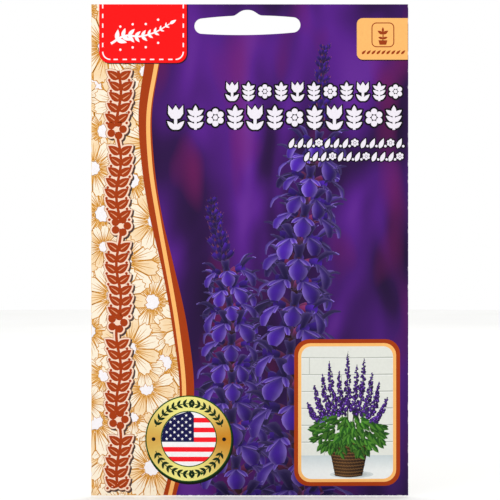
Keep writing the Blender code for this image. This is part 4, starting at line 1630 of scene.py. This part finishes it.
def husk():
    """A dried husk is matt and dark brown, pitted and streaked with a paler bloom."""
    made, tree, sockets, at = principled("dried_nutlet_husk", Roughness=0.62)
    bloom = clouded(tree, at, BLOOM_MM, ((0.35, "#2A1B12"), (0.75, "#7A5C40")))[0]
    tree.links.new(bloom, sockets["Base Color"])
    pits = node(tree, "ShaderNodeTexVoronoi", [("Vector", at), ("Scale", 1 / (PIT_MM * MM))])
    bump = node(tree, "ShaderNodeBump", [("Height", pits.outputs["Distance"]), ("Distance", 0.04 * MM)])
    tree.links.new(bump.outputs["Normal"], sockets["Normal"])
    return made


HUSK = husk()
for name in sorted(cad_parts):
    if name.startswith("seed_"):
        dressed(name, HUSK)


# The studio.
# A plain pale floor and soft even light, with a long lens square to the front, as a scanner sees it.
PHOTO_MM = 0.3027
PHOTO_SIZE = 500
PHOTO_PEG = (247.2, 9.8)
LENS = 120
SENSOR = 36
FLOOR_R = 1.6
FLOOR_GAP = 0.3
FLOOR_CLOUD_MM = 111
LAMPS = (
    # the lamp's name and place in metres
    ("key", (-0.55, -0.75, 0.35)),
    ("rim", (0.45, 0.75, 0.4)),
)
LAMP_SIZE, LAMP_POWER = 0.5, 1.4


def studio_floor():
    """Background paper is matt and all but white, with very faint wide clouds."""
    made, tree, sockets, at = principled("matt_studio_paper", Roughness=0.9)
    pale = clouded(tree, at, FLOOR_CLOUD_MM, ((0.0, "#F6F6F4"), (1.0, "#FCFCFB")))[0]
    tree.links.new(pale, sockets["Base Color"])
    return made


under = (0, 0, BOTTOM - FLOOR_GAP * MM)
bpy.ops.mesh.primitive_circle_add(vertices=96, radius=FLOOR_R, fill_type="NGON", location=under)
floor = bpy.context.object
floor.name = "studio_floor"
floor.data.materials.append(studio_floor())

world = bpy.data.worlds.new("studio")
world.use_nodes = True
sky = world.node_tree.nodes["Background"].inputs
sky["Color"].default_value = (1, 1, 1, 1)
sky["Strength"].default_value = 1.0
bpy.context.scene.world = world
middle = Vector((0, 0, (TOP + BOTTOM) / 2))
for name, place in LAMPS:
    lamp = bpy.data.lights.new(name, "AREA")
    lamp.size, lamp.energy = LAMP_SIZE, LAMP_POWER
    holder = bpy.data.objects.new(name, lamp)
    holder.location = place
    holder.rotation_euler = (Vector(place) - middle).to_track_quat("Z", "Y").to_euler()
    bpy.context.scene.collection.objects.link(holder)

bpy.context.scene.view_settings.view_transform = "Standard"
camera = bpy.data.cameras.new("photo_camera")
camera.lens, camera.sensor_width = LENS, SENSOR
middle_x = (PHOTO_SIZE / 2 - PHOTO_PEG[0]) * PHOTO_MM * MM
middle_z = (PHOTO_PEG[1] - PHOTO_SIZE / 2) * PHOTO_MM * MM
away = PHOTO_SIZE * PHOTO_MM * MM / SENSOR * LENS
eye = bpy.data.objects.new("photo_camera", camera)
eye.location = (middle_x, -away - HALF_PAPER * MM, middle_z)
eye.rotation_euler = (math.pi / 2, 0, 0)
bpy.context.scene.collection.objects.link(eye)
bpy.context.scene.camera = eye
